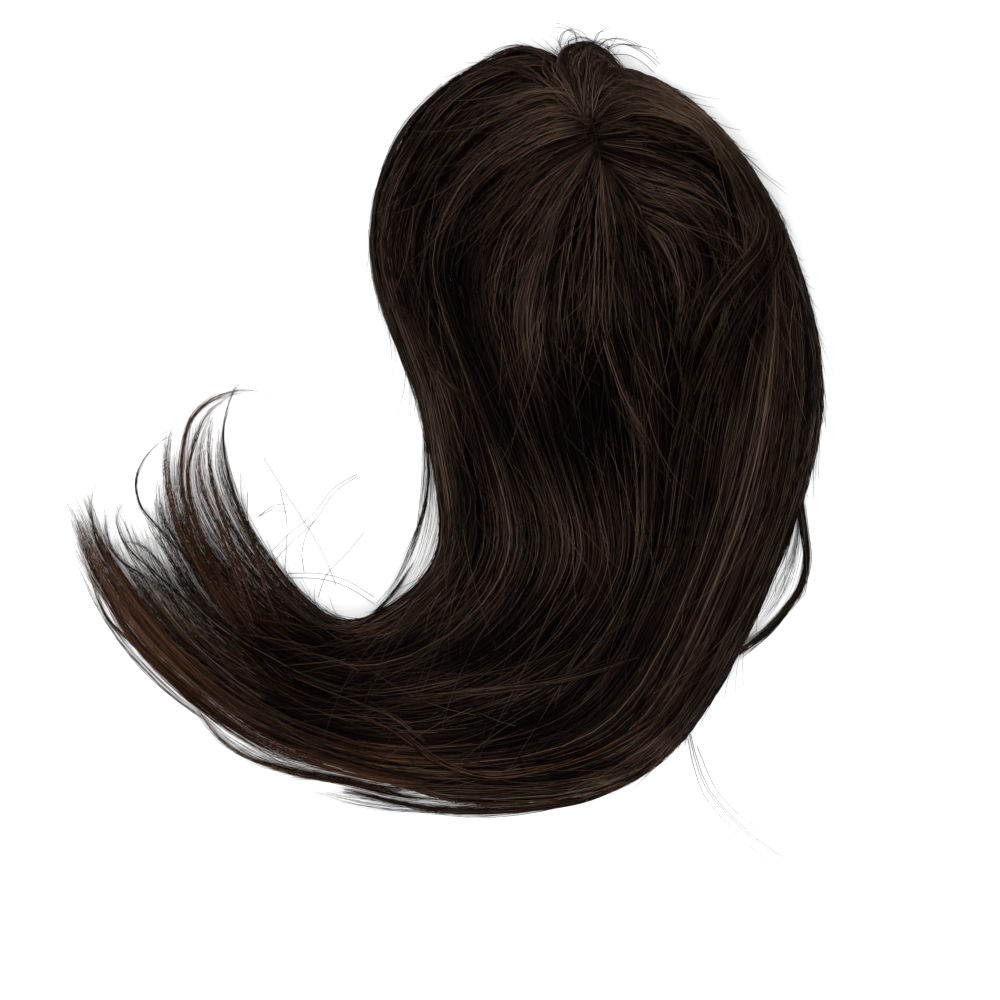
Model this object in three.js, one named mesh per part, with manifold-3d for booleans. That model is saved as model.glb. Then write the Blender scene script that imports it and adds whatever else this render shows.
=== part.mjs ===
// A hair topper laid out on a table: long straight hair tied along a parting on a shallow
// oval base, combed to both sides and to the back, and swept round to one side so that the
// ends curl back up. Four plain snap clips sit under the base. Millimetres, +Z up, the front
// of the base towards +Y, seen from above as it lies.
import * as THREE from "three";
import { LoftGeometry } from "three/addons/geometries/LoftGeometry.js";
import { mergeVertices } from "three/addons/utils/BufferGeometryUtils.js";
import Module from "manifold-3d";

// Base: an oval cap of thin cloth
const baseWidth = 120;
const baseLength = 130;
const baseRise = 34;
const baseWall = 1.6;

// Hair: how far past the base's rim it spreads before it is combed back, the side of the square
// in which it is laid out, and its depth at the thickest
const hairOverhang = 5;
const layoutSpan = 400;
const hairDepth = 17;
const ribRelief = 0.2; // depth of the furrow between two ribs, as a share of the hair's depth
const lockOverlap = 1.25; // width of a free lock over the distance to the next one
const tipWidth = 1.6;
const tipStagger = 0.04; // the share of its length by which a lock may be shorter than the next
const lockTuck = 0.12; // the share of its length for which a lock lies inside the sheet
const sheetEndDepth = 0.3; // depth of a sheet where it parts into locks, as a share of its depth
const sheetEndReach = 0.16; // the share of a sheet over which it thins out to that depth
const hairSink = 4; // how far hair is modelled into what it lies on, before that is cut away

// Loose locks that leave the mass
const looseLockWidth = 4;
const looseLockDepth = 3;

// Clips: plain flat plates with two slots, sewn under the base near its rim
const clipLength = 32;
const clipWidth = 10;
const clipThickness = 1.4;
const clipInset = 15; // from the rim to the middle of the clip, seen from above
const clipSlotLength = 22;
const clipSlotWidth = 2;

const seatGap = 0.4; // between pieces that touch
const smoothing = 0.13; // how far a cut surface may move to have fewer facets

const COLOURS = { hair: 0x241813, base: 0x1d1512, clip: 0x15110f };

// The hair is combed along guides. A guide is a row of places that a hair of the piece passes,
// seen from above, from its root on the parting to its tip. The places down to the temple and
// on the hairline are shares of half the width and length of the oval that hair covers, and the
// others are shares of the layout's span, all from the middle of the base.
const ON_BASE = ["root", "rise", "crown", "temple", "hairline"];
const LEFT_OF_MIDDLE = {
  nape: [-0.092, -0.18], bend: [-0.083, -0.325], turn: [-0.13, -0.4], sweep: [-0.237, -0.443],
  curl: [-0.357, -0.385], flick: [-0.423, -0.285], tip: [-0.427, -0.205],
};
const RIGHT_OF_MIDDLE = {
  nape: [0.087, -0.18], bend: [0.06, -0.34], turn: [-0.025, -0.475], sweep: [-0.215, -0.51],
  curl: [-0.398, -0.427], flick: [-0.473, -0.337], tip: [-0.507, -0.28],
};
const GUIDES = {
  inner_edge: {
    root: [-0.09, 0.95], rise: [-0.4, 1.06], crown: [-0.97, 0.82], temple: [-1.38, 0.0],
    nape: [-0.176, -0.165], bend: [-0.163, -0.31], turn: [-0.191, -0.353], sweep: [-0.25, -0.385],
    curl: [-0.308, -0.343], flick: [-0.369, -0.227], tip: [-0.361, -0.16],
  },
  left_mid: {
    root: [-0.055, 0.77], rise: [-0.37, 0.74], crown: [-0.77, 0.51], temple: [-1.09, -0.06],
    nape: [-0.137, -0.17], bend: [-0.127, -0.315], turn: [-0.163, -0.375], sweep: [-0.245, -0.413],
    curl: [-0.333, -0.365], flick: [-0.403, -0.265], tip: [-0.399, -0.177],
  },
  left_inner: {
    root: [-0.01, 0.59], rise: [-0.3, 0.52], crown: [-0.74, 0.24], temple: [-0.92, -0.2],
    ...LEFT_OF_MIDDLE,
  },
  middle_left: {
    root: [-0.005, 0.57], rise: [-0.28, 0.5], crown: [-0.72, 0.2], temple: [-0.9, -0.24],
    ...LEFT_OF_MIDDLE,
  },
  middle: {
    root: [0.02, 0.42], rise: [0.01, 0.17], crown: [-0.02, -0.09], temple: [-0.09, -0.63],
    nape: [-0.005, -0.215], bend: [-0.005, -0.34], turn: [-0.075, -0.44], sweep: [-0.227, -0.477],
    curl: [-0.38, -0.407], flick: [-0.437, -0.325], tip: [-0.452, -0.273],
  },
  middle_right: {
    root: [0.06, 0.4], rise: [0.2, 0.23], crown: [0.34, -0.06], temple: [0.44, -0.63],
    ...RIGHT_OF_MIDDLE,
  },
  right_inner: {
    root: [0.0, 0.59], rise: [0.28, 0.69], crown: [0.675, 0.545], temple: [0.92, -0.1],
    ...RIGHT_OF_MIDDLE,
  },
  right_mid: {
    root: [-0.045, 0.79], rise: [0.28, 0.78], crown: [0.71, 0.575], temple: [1.06, 0.0],
    nape: [0.165, -0.165], bend: [0.12, -0.33], turn: [0.015, -0.502], sweep: [-0.207, -0.53],
    curl: [-0.412, -0.44], flick: [-0.5, -0.327], tip: [-0.523, -0.277],
  },
  right_outer: {
    root: [-0.065, 0.87], rise: [0.28, 0.85], crown: [0.735, 0.6], temple: [1.12, 0.0],
    nape: [0.2, -0.162], bend: [0.162, -0.323], turn: [0.04, -0.52], sweep: [-0.183, -0.547],
    curl: [-0.323, -0.503], flick: [-0.36, -0.485], tip: [-0.388, -0.467],
  },
  outer_edge: {
    root: [-0.08, 0.96], rise: [0.28, 0.93], crown: [0.76, 0.62], temple: [1.18, 0.0],
    nape: [0.228, -0.16], bend: [0.195, -0.317], turn: [0.062, -0.529], sweep: [-0.115, -0.567],
    curl: [-0.195, -0.55], flick: [-0.25, -0.533], tip: [-0.295, -0.523],
  },
  swirl_outer: {
    root: [0.0, 0.58], rise: [0.3, 0.66], crown: [0.7, 0.5], temple: [0.93, 0.0],
    nape: [0.123, -0.085], tip: [0.1, -0.19],
  },
  swirl_inner: {
    root: [0.02, 0.4], rise: [0.15, 0.27], crown: [0.3, 0.0], temple: [0.36, -0.3],
    nape: [0.062, -0.1], tip: [0.053, -0.2],
  },
  top_left: {
    root: [-0.02, 0.5], rise: [-0.2, 0.26], crown: [-0.36, 0.0], temple: [-0.52, -0.5],
    nape: [-0.07, -0.16], tip: [-0.02, -0.215],
  },
  top_right: {
    root: [0.05, 0.38], rise: [0.12, 0.15], crown: [0.19, -0.1], temple: [0.26, -0.5],
    nape: [0.052, -0.14], tip: [0.028, -0.225],
  },
  tuft_left: { root: [-0.1, 0.74], rise: [-0.2, 0.96], hairline: [-0.2, 1.07] },
  tuft_right: { root: [-0.02, 0.77], rise: [0.08, 0.97], hairline: [0.08, 1.06] },
  side_lock: {
    nape: [0.212, -0.235], bend: [0.212, -0.28], turn: [0.21, -0.32], sweep: [0.2, -0.355],
    curl: [0.175, -0.391], tip: [0.143, -0.417],
  },
  under_lock: {
    nape: [0.005, -0.563], bend: [-0.045, -0.576], turn: [-0.095, -0.582], sweep: [-0.155, -0.579],
    curl: [-0.205, -0.569], tip: [-0.26, -0.553],
  },
};

// The sections of hair, from the one on top to the one that gives way to all others. Guides are
// named from the right-hand side of a hair that runs from root to tip. A section is a ribbed
// sheet up to the share of its length called sheet, and parts into free locks before that. The
// bed and the lift are the heights of its underside and its top, as shares of the hair's depth
// there, and the edges on its right and left are thick or thin.
const SECTIONS = [
  {
    name: "front_tuft", guides: ["tuft_right", "tuft_left"], ribs: 3, locks: 3,
    sheet: 0.7, bed: 0, lift: 0.8, edges: ["thin", "thin"],
  },
  {
    name: "top_fall", guides: ["top_left", "top_right"], ribs: 5, locks: 5,
    sheet: 0.86, bed: 0.7, lift: 1.3, edges: ["thin", "thin"],
  },
  {
    name: "right_curtain", guides: ["right_inner", "right_mid", "right_outer", "outer_edge"],
    ribs: 7, locks: 7, sheet: 0.86, bed: 0, lift: 1, edges: ["thick", "thin"],
  },
  {
    name: "left_curtain", guides: ["inner_edge", "left_mid", "left_inner"], ribs: 6, locks: 5,
    sheet: 0.84, bed: 0, lift: 1, edges: ["thin", "thick"],
  },
  {
    name: "right_swirl", guides: ["swirl_inner", "swirl_outer"], ribs: 4, locks: 0,
    sheet: 1, bed: 0, lift: 0.7, edges: ["thin", "thin"],
  },
  {
    name: "middle_fall", guides: ["middle_left", "middle", "middle_right"], ribs: 6, locks: 5,
    sheet: 0.84, bed: 0, lift: 0.95, edges: ["thick", "thick"],
  },
];

// Depth of the hair at each station of a guide, as a share of the greatest depth
const DEPTH_AT = {
  root: 0.3, rise: 0.5, crown: 0.65, temple: 0.85, nape: 1, bend: 1, turn: 1, sweep: 0.9,
  curl: 0.7, flick: 0.4, tip: 0.15, hairline: 0.15,
};
// Width of a free lock at each station, as a share of its width where it lies beside the next
const WIDTH_AT = {
  root: 1, rise: 1, crown: 1, temple: 1, nape: 1, bend: 1, turn: 1, sweep: 1,
  curl: 0.9, flick: 0.5, tip: 0.1, hairline: 0.1,
};

const LOOSE_LOCKS = ["side_lock", "under_lock"];

const sheetRings = 24; // per whole length of a section
const lockRings = 5;
const looseRings = 10;
const lockSides = 6;
const domeSides = 36;
const domeRings = 6;

const halfWidth = baseWidth / 2;
const halfLength = baseLength / 2;
const crownHalfWidth = halfWidth + hairOverhang;
const crownHalfLength = halfLength + hairOverhang;

const wasm = await Module();
wasm.setup();

// A geometry as a solid that can be cut and joined
function solidOf(geometry) {
  const bare = geometry.index ? geometry.toNonIndexed() : geometry.clone();
  bare.deleteAttribute("normal");
  bare.deleteAttribute("uv");
  const merged = mergeVertices(bare, 1e-4);
  return new wasm.Manifold(
    new wasm.Mesh({
      numProp: 3,
      vertProperties: merged.attributes.position.array,
      triVerts: new Uint32Array(merged.index.array),
    }),
  );
}

// A solid as a named mesh of the given colour
function meshOf(name, solid, colour, roughness, metalness) {
  const { vertProperties, triVerts } = solid.getMesh();
  const geometry = new THREE.BufferGeometry();
  geometry.setAttribute("position", new THREE.BufferAttribute(new Float32Array(vertProperties), 3));
  geometry.setIndex(new THREE.BufferAttribute(new Uint32Array(triVerts), 1));
  geometry.computeVertexNormals();
  const mesh = new THREE.Mesh(
    geometry,
    new THREE.MeshStandardMaterial({ color: colour, roughness, metalness }),
  );
  mesh.name = name;
  return mesh;
}

// The value of a table of stations at share s along the guides of a section
function atStation(table, section, s) {
  const row = Object.keys(GUIDES[section.guides[0]]).map((station) => table[station]);
  const place = THREE.MathUtils.clamp(s, 0, 1) * (row.length - 1);
  const before = Math.min(Math.floor(place), row.length - 2);
  return THREE.MathUtils.lerp(row[before], row[before + 1], place - before);
}

// How far out (x, y) lies, as a share of the way from the middle of the base to its rim
function rimShare(x, y) {
  return Math.hypot(x / halfWidth, y / halfLength);
}

// Height at which hair lies over the base and hangs from its rim down to the table
function drapeHeight(x, y) {
  const leave = 0.8; // share of the way to the rim at which the hair leaves the base
  const share = rimShare(x, y);
  if (share < leave) return baseRise * (1 - share ** 2);
  const height = baseRise * (1 - leave ** 2);
  const slope = 2 * leave * baseRise;
  return height * Math.exp((-(share - leave) * slope) / height);
}

// Upward normal of the surface on which hair lies
function drapeNormal(x, y) {
  const step = 0.5;
  const slopeX = (drapeHeight(x + step, y) - drapeHeight(x - step, y)) / (2 * step);
  const slopeY = (drapeHeight(x, y + step) - drapeHeight(x, y - step)) / (2 * step);
  return new THREE.Vector3(-slopeX, -slopeY, 1).normalize();
}

// A guide as a smooth curve seen from above
function guideCurve(name) {
  const points = Object.entries(GUIDES[name]).map(([station, [x, y]]) =>
    ON_BASE.includes(station)
      ? new THREE.Vector3(x * crownHalfWidth, y * crownHalfLength, 0)
      : new THREE.Vector3(x * layoutSpan, y * layoutSpan, 0),
  );
  return new THREE.CatmullRomCurve3(points, false, "centripetal");
}

// The place seen from above at share s along a section, at share f of the way across it
function combed(curves, f, s) {
  const place = THREE.MathUtils.clamp(f, 0, 1) * (curves.length - 1);
  const before = Math.min(Math.floor(place), curves.length - 2);
  const reach = THREE.MathUtils.clamp(s, 0, 1);
  return curves[before].getPoint(reach).lerp(curves[before + 1].getPoint(reach), place - before);
}

// Depth across a section as a share of that in its middle, which falls off towards thin edges
function depthAcross(section, f) {
  const edgeWidth = 0.25;
  const edgeDepth = 0.35;
  const right = section.edges[0] === "thin" ? edgeDepth + f / edgeWidth : 1;
  const left = section.edges[1] === "thin" ? edgeDepth + (1 - f) / edgeWidth : 1;
  return Math.min(right, left, 1);
}

// A closed solid through rings, each of which holds the points across the top of a sheet from
// its left to its right and then three across its underside, from right to left
function ribbedSolid(rings) {
  const columns = rings[0].length;
  const across = columns - 4; // steps from the left top point to the right one
  const index = [];
  for (let i = 0; i < rings.length - 1; i++) {
    for (let j = 0; j < columns; j++) {
      const here = i * columns + j;
      const beside = i * columns + ((j + 1) % columns);
      index.push(here, beside, here + columns, beside, beside + columns, here + columns);
    }
  }
  const [right, below, left] = [columns - 3, columns - 2, columns - 1];
  const cap = [left, across / 2, below, below, across, right];
  for (let j = 0; j < across; j++) {
    cap.push(j < across / 2 ? left : below, j, j + 1);
  }
  index.push(...cap.toReversed());
  index.push(...cap.map((corner) => corner + (rings.length - 1) * columns));
  const geometry = new THREE.BufferGeometry().setFromPoints(rings.flat());
  geometry.setIndex(index);
  return solidOf(geometry);
}

// The part of a section that lies as one ribbed sheet, larger all round by extra
function sheetSolid(section, curves, extra) {
  const steps = Math.round(sheetRings * section.sheet);
  const points = 2 * section.ribs;
  const rings = [];
  for (let i = 0; i <= steps; i++) {
    const s = (i / steps) * section.sheet;
    const right = combed(curves, 0, s);
    const left = combed(curves, 1, s);
    const across = left.clone().sub(right).normalize();
    const middle = combed(curves, 0.5, s);
    const forward = combed(curves, 0.5, s + 0.01).sub(combed(curves, 0.5, s - 0.01)).normalize();
    const shift = forward.multiplyScalar(i === 0 ? -extra : i === steps ? extra : 0);
    // a sheet that parts into locks thins out under them
    const ahead = (1 - s / section.sheet) / sheetEndReach;
    const thin = section.locks > 0 ? Math.min(1, sheetEndDepth + ahead) : 1;
    const depth = hairDepth * atStation(DEPTH_AT, section, s);
    const bed = section.bed * depth;
    const thick = (section.lift - section.bed) * depth * thin;
    const ring = [];
    for (let k = points; k >= 0; k--) {
      const f = k / points;
      const point = combed(curves, f, s);
      const furrow = k % 2 === 0 ? 1 - ribRelief : 1;
      const high = thick * depthAcross(section, f) * furrow;
      point.z = drapeHeight(point.x, point.y) + bed + high + extra;
      if (k === 0) point.addScaledVector(across, -extra);
      if (k === points) point.addScaledVector(across, extra);
      ring.push(point.add(shift));
    }
    for (const [point, side] of [[right, -1], [middle, 0], [left, 1]]) {
      point.z = drapeHeight(point.x, point.y) + bed - (bed > 0 ? 0 : hairSink) - extra;
      ring.push(point.addScaledVector(across, side * extra).add(shift));
    }
    rings.push(ring);
  }
  return ribbedSolid(rings);
}

// A closed lock that follows path(s), whose section at s is an oval of halfWide(s) by
// halfDeep(s), larger all round by extra
function lockSolid(path, halfWide, halfDeep, steps, extra) {
  const rings = [];
  for (let i = 0; i <= steps; i++) {
    const s = i / steps;
    const step = 0.01;
    const centre = path(s);
    const forward = path(Math.min(s + step, 1)).sub(path(Math.max(s - step, 0))).normalize();
    if (i === 0) centre.addScaledVector(forward, -extra);
    if (i === steps) centre.addScaledVector(forward, extra);
    const side = forward.clone().cross(drapeNormal(centre.x, centre.y)).normalize();
    const up = side.clone().cross(forward);
    const ring = [];
    for (let k = 0; k < lockSides; k++) {
      const turn = ((k + 0.5) / lockSides) * 2 * Math.PI;
      ring.push(
        centre
          .clone()
          .addScaledVector(side, -Math.cos(turn) * (halfWide(s) + extra))
          .addScaledVector(up, Math.sin(turn) * (halfDeep(s) + extra)),
      );
    }
    rings.push(ring);
  }
  return solidOf(new LoftGeometry(rings, { capStart: true, capEnd: true }));
}

// A section of hair: its sheet and the free locks into which it parts, larger all round by extra
function sectionSolid(section, extra) {
  const curves = section.guides.map(guideCurve);
  const solids = [sheetSolid(section, curves, extra)];
  for (let k = 0; k < section.locks; k++) {
    const f = (k + 0.5) / section.locks;
    const start = section.sheet - lockTuck;
    const end = 1 - tipStagger * ((2 * k) % 3);
    const at = (s) => start + (end - start) * s;
    const depthAt = (s) => hairDepth * atStation(DEPTH_AT, section, at(s));
    const path = (s) => {
      const point = combed(curves, f, at(s));
      const middle = Math.max((section.bed + section.lift) / 2, 0.2) * depthAt(s);
      point.z = drapeHeight(point.x, point.y) + middle;
      return point;
    };
    const halfWide = (s) => {
      const reach = 0.5 / section.locks;
      const apart = combed(curves, f - reach, at(s)).distanceTo(combed(curves, f + reach, at(s)));
      const width = apart * lockOverlap * atStation(WIDTH_AT, section, at(s));
      return Math.max(width, tipWidth) / 2;
    };
    const halfDeep = (s) => ((section.lift - section.bed) * depthAt(s)) / 2;
    solids.push(lockSolid(path, halfWide, halfDeep, lockRings, extra));
  }
  return wasm.Manifold.union(solids);
}

// A thin lock on the table by itself, with pointed ends, larger all round by extra
function looseLockSolid(name, extra) {
  const curve = guideCurve(name);
  const swell = (s) => 0.25 + 0.75 * Math.sin(Math.PI * s);
  const path = (s) => curve.getPoint(s).setZ(looseLockDepth / 3);
  const halfWide = (s) => (looseLockWidth / 2) * swell(s);
  const halfDeep = (s) => (looseLockDepth / 2) * swell(s);
  return lockSolid(path, halfWide, halfDeep, looseRings, extra);
}

// A solid dome over an oval, which goes on straight down below its rim by drop
function domeSolid(halfWide, halfLong, rise, drop) {
  const profile = [new THREE.Vector2(0, -drop), new THREE.Vector2(1, -drop)];
  for (let i = domeRings; i >= 0; i--) {
    const share = i / domeRings;
    profile.push(new THREE.Vector2(share, rise * (1 - share ** 2)));
  }
  return solidOf(
    new THREE.LatheGeometry(profile, domeSides).rotateX(Math.PI / 2).scale(halfWide, halfLong, 1),
  );
}

// All that the hair lies on: the table, and the base with the room under it
function groundSolid() {
  const depth = 60;
  const table = new THREE.BoxGeometry(3 * layoutSpan, 3 * layoutSpan, depth).translate(0, 0, -depth / 2);
  const head = domeSolid(halfWidth + seatGap, halfLength + seatGap, baseRise + seatGap, depth / 2);
  return solidOf(table).add(head);
}

// The largest body of a solid that may have lost small pieces to a cut
function largestBody(solid) {
  return solid.decompose().reduce((a, b) => (b.volume() > a.volume() ? b : a));
}

function makeBase() {
  const outside = domeSolid(halfWidth, halfLength, baseRise, 0);
  const inside = domeSolid(halfWidth - baseWall, halfLength - baseWall, baseRise - baseWall, baseWall);
  return meshOf("base", outside.subtract(inside), COLOURS.base, 0.9, 0);
}

// Each section gives way to those above it, then all of them to what they lie on
function makeHair() {
  const ground = groundSolid();
  const taken = [];
  const meshes = [];
  const place = (name, solid, grown) => {
    const free = taken.reduce((left, other) => left.subtract(other), solid).subtract(ground);
    meshes.push(meshOf(name, largestBody(free.simplify(smoothing)), COLOURS.hair, 0.45, 0));
    taken.push(grown);
  };
  for (const section of SECTIONS) {
    const solid = sectionSolid(section, 0);
    place(section.name, solid, sectionSolid(section, seatGap).add(solid));
  }
  for (const name of LOOSE_LOCKS) {
    const solid = looseLockSolid(name, 0);
    place(name, solid, looseLockSolid(name, seatGap).add(solid));
  }
  return meshes;
}

// A plate with round ends and two slots along it, lying flat with its top at height 0
function clipGeometry() {
  const straight = (clipLength - clipWidth) / 2;
  const outline = new THREE.Shape();
  outline.absarc(straight, 0, clipWidth / 2, -Math.PI / 2, Math.PI / 2);
  outline.absarc(-straight, 0, clipWidth / 2, Math.PI / 2, (3 * Math.PI) / 2);
  for (const side of [-1, 1]) {
    const middle = (side * clipWidth) / 4.5;
    const slot = new THREE.Path();
    slot.moveTo(-clipSlotLength / 2, middle - clipSlotWidth / 2);
    slot.lineTo(-clipSlotLength / 2, middle + clipSlotWidth / 2);
    slot.lineTo(clipSlotLength / 2, middle + clipSlotWidth / 2);
    slot.lineTo(clipSlotLength / 2, middle - clipSlotWidth / 2);
    outline.holes.push(slot);
  }
  return new THREE.ExtrudeGeometry(outline, {
    depth: clipThickness, bevelEnabled: false, curveSegments: 5,
  }).translate(0, 0, -clipThickness);
}

// A clip lies under the base along its rim, tilted as the base is there, with its ends up
// against the cloth
function makeClip(name, turn) {
  const insideWidth = halfWidth - baseWall;
  const insideLength = halfLength - baseWall;
  const insideRise = baseRise - baseWall;
  const inner = (x, y) => insideRise * (1 - (x / insideWidth) ** 2 - (y / insideLength) ** 2);
  const out = new THREE.Vector2(Math.cos(turn), Math.sin(turn));
  const reach = 1 / Math.hypot(out.x / halfWidth, out.y / halfLength) - clipInset;
  const x = out.x * reach;
  const y = out.y * reach;
  const normal = new THREE.Vector3(
    (2 * insideRise * x) / insideWidth ** 2,
    (2 * insideRise * y) / insideLength ** 2,
    1,
  ).normalize();
  const length = new THREE.Vector3(-out.y, out.x, 0);
  const width = normal.clone().cross(length).normalize();
  // the ends touch first, so the plate is lowered by how far the dome falls away over them
  const fall = inner(x, y) - inner(x - (out.y * clipLength) / 2, y + (out.x * clipLength) / 2);
  const dip = baseRise * (clipWidth / 2 / Math.min(insideWidth, insideLength)) ** 2;
  const mesh = meshOf(name, solidOf(clipGeometry()), COLOURS.clip, 0.35, 0.7);
  mesh.quaternion.setFromRotationMatrix(new THREE.Matrix4().makeBasis(length, width, normal));
  mesh.position.set(x, y, inner(x, y)).addScaledVector(normal, -(fall + dip) * normal.z - seatGap);
  return mesh;
}

const topper = new THREE.Group();
topper.add(makeBase(), ...makeHair());
const CLIPS = { clip_right: 0, clip_front: 90, clip_left: 180, clip_back: 270 };
for (const [name, degrees] of Object.entries(CLIPS)) {
  topper.add(makeClip(name, THREE.MathUtils.degToRad(degrees)));
}

// The origin is on the table under the middle of the whole
const box = new THREE.Box3().setFromObject(topper);
const middle = box.getCenter(new THREE.Vector3());
topper.position.set(-middle.x, -middle.y, -box.min.z);

export default topper;
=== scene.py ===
"""A hair topper laid out flat, dressed around its solid model.

Each section of hair is a core, painted near black as the shade deep in the mass, under hundreds of
fine strands, combed along guides close to those of the solid that it stands for. Wisps, fuzz and
stray hairs lie over the mass and beside it.
Metres, +Z up, seen from straight above.
"""

import math
from typing import NamedTuple

import bmesh
import bpy
import numpy as np
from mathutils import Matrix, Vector


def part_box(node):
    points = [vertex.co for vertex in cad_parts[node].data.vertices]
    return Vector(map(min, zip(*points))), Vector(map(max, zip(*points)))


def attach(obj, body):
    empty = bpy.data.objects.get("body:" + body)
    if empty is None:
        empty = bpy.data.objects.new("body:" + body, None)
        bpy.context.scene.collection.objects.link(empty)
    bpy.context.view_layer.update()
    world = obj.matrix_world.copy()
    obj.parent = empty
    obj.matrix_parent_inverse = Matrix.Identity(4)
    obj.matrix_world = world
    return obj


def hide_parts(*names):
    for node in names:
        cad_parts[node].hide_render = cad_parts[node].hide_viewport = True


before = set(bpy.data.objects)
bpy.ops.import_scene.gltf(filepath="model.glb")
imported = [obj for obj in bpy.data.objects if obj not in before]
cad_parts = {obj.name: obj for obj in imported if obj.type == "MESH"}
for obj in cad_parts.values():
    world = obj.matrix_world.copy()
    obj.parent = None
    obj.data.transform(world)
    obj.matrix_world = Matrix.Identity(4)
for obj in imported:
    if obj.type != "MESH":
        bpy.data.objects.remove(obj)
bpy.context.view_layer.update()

bl_info = {
    "name": "Hair Topper",
    "version": (1, 0, 0),
    "blender": (4, 5, 0),
    "location": "3D View > Sidebar > Hair Topper",
    "description": "Dresses a hair topper's solid model with strands of hair",
    "category": "Add Mesh",
}

# The place and size of the base, which all of the hair follows
BASE_LOW, BASE_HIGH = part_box("base")
BASE_MIDDLE = (BASE_LOW + BASE_HIGH) / 2
MIDDLE = np.array(BASE_MIDDLE[:2])
HALF_WIDTH, HALF_LENGTH = ((BASE_HIGH - BASE_LOW) / 2)[:2]
BASE_RISE = BASE_HIGH.z - BASE_LOW.z

HAIR_OVERHANG = 0.005  # how far the oval that hair covers reaches past the base
LAYOUT_SPAN = 0.4  # width of the square in which the hair is laid out
HAIR_DEPTH = 0.017  # greatest depth of the hair over what it lies on
RIB_RELIEF = 0.2  # share of that depth which the solid's ribs take up
GUIDE_SAMPLES = 400
MAP_NAME = "OFBake"  # the map from which a hair's colour is read, and which a bake keeps

# The guides along which the hair is combed, close to those of the solid model: a place for each
# station. Places at the stations on the base are shares of half the oval that hair covers, and
# the others are shares of the layout's span, all from the middle of the base.
ON_BASE = ("root", "rise", "crown", "temple", "hairline")
LONG = ("root", "rise", "crown", "temple", "nape", "bend", "turn", "sweep", "curl", "flick", "tip")
SHORT = ("root", "rise", "crown", "temple", "nape", "tip")
TUFT = ("root", "rise", "hairline")
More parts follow.
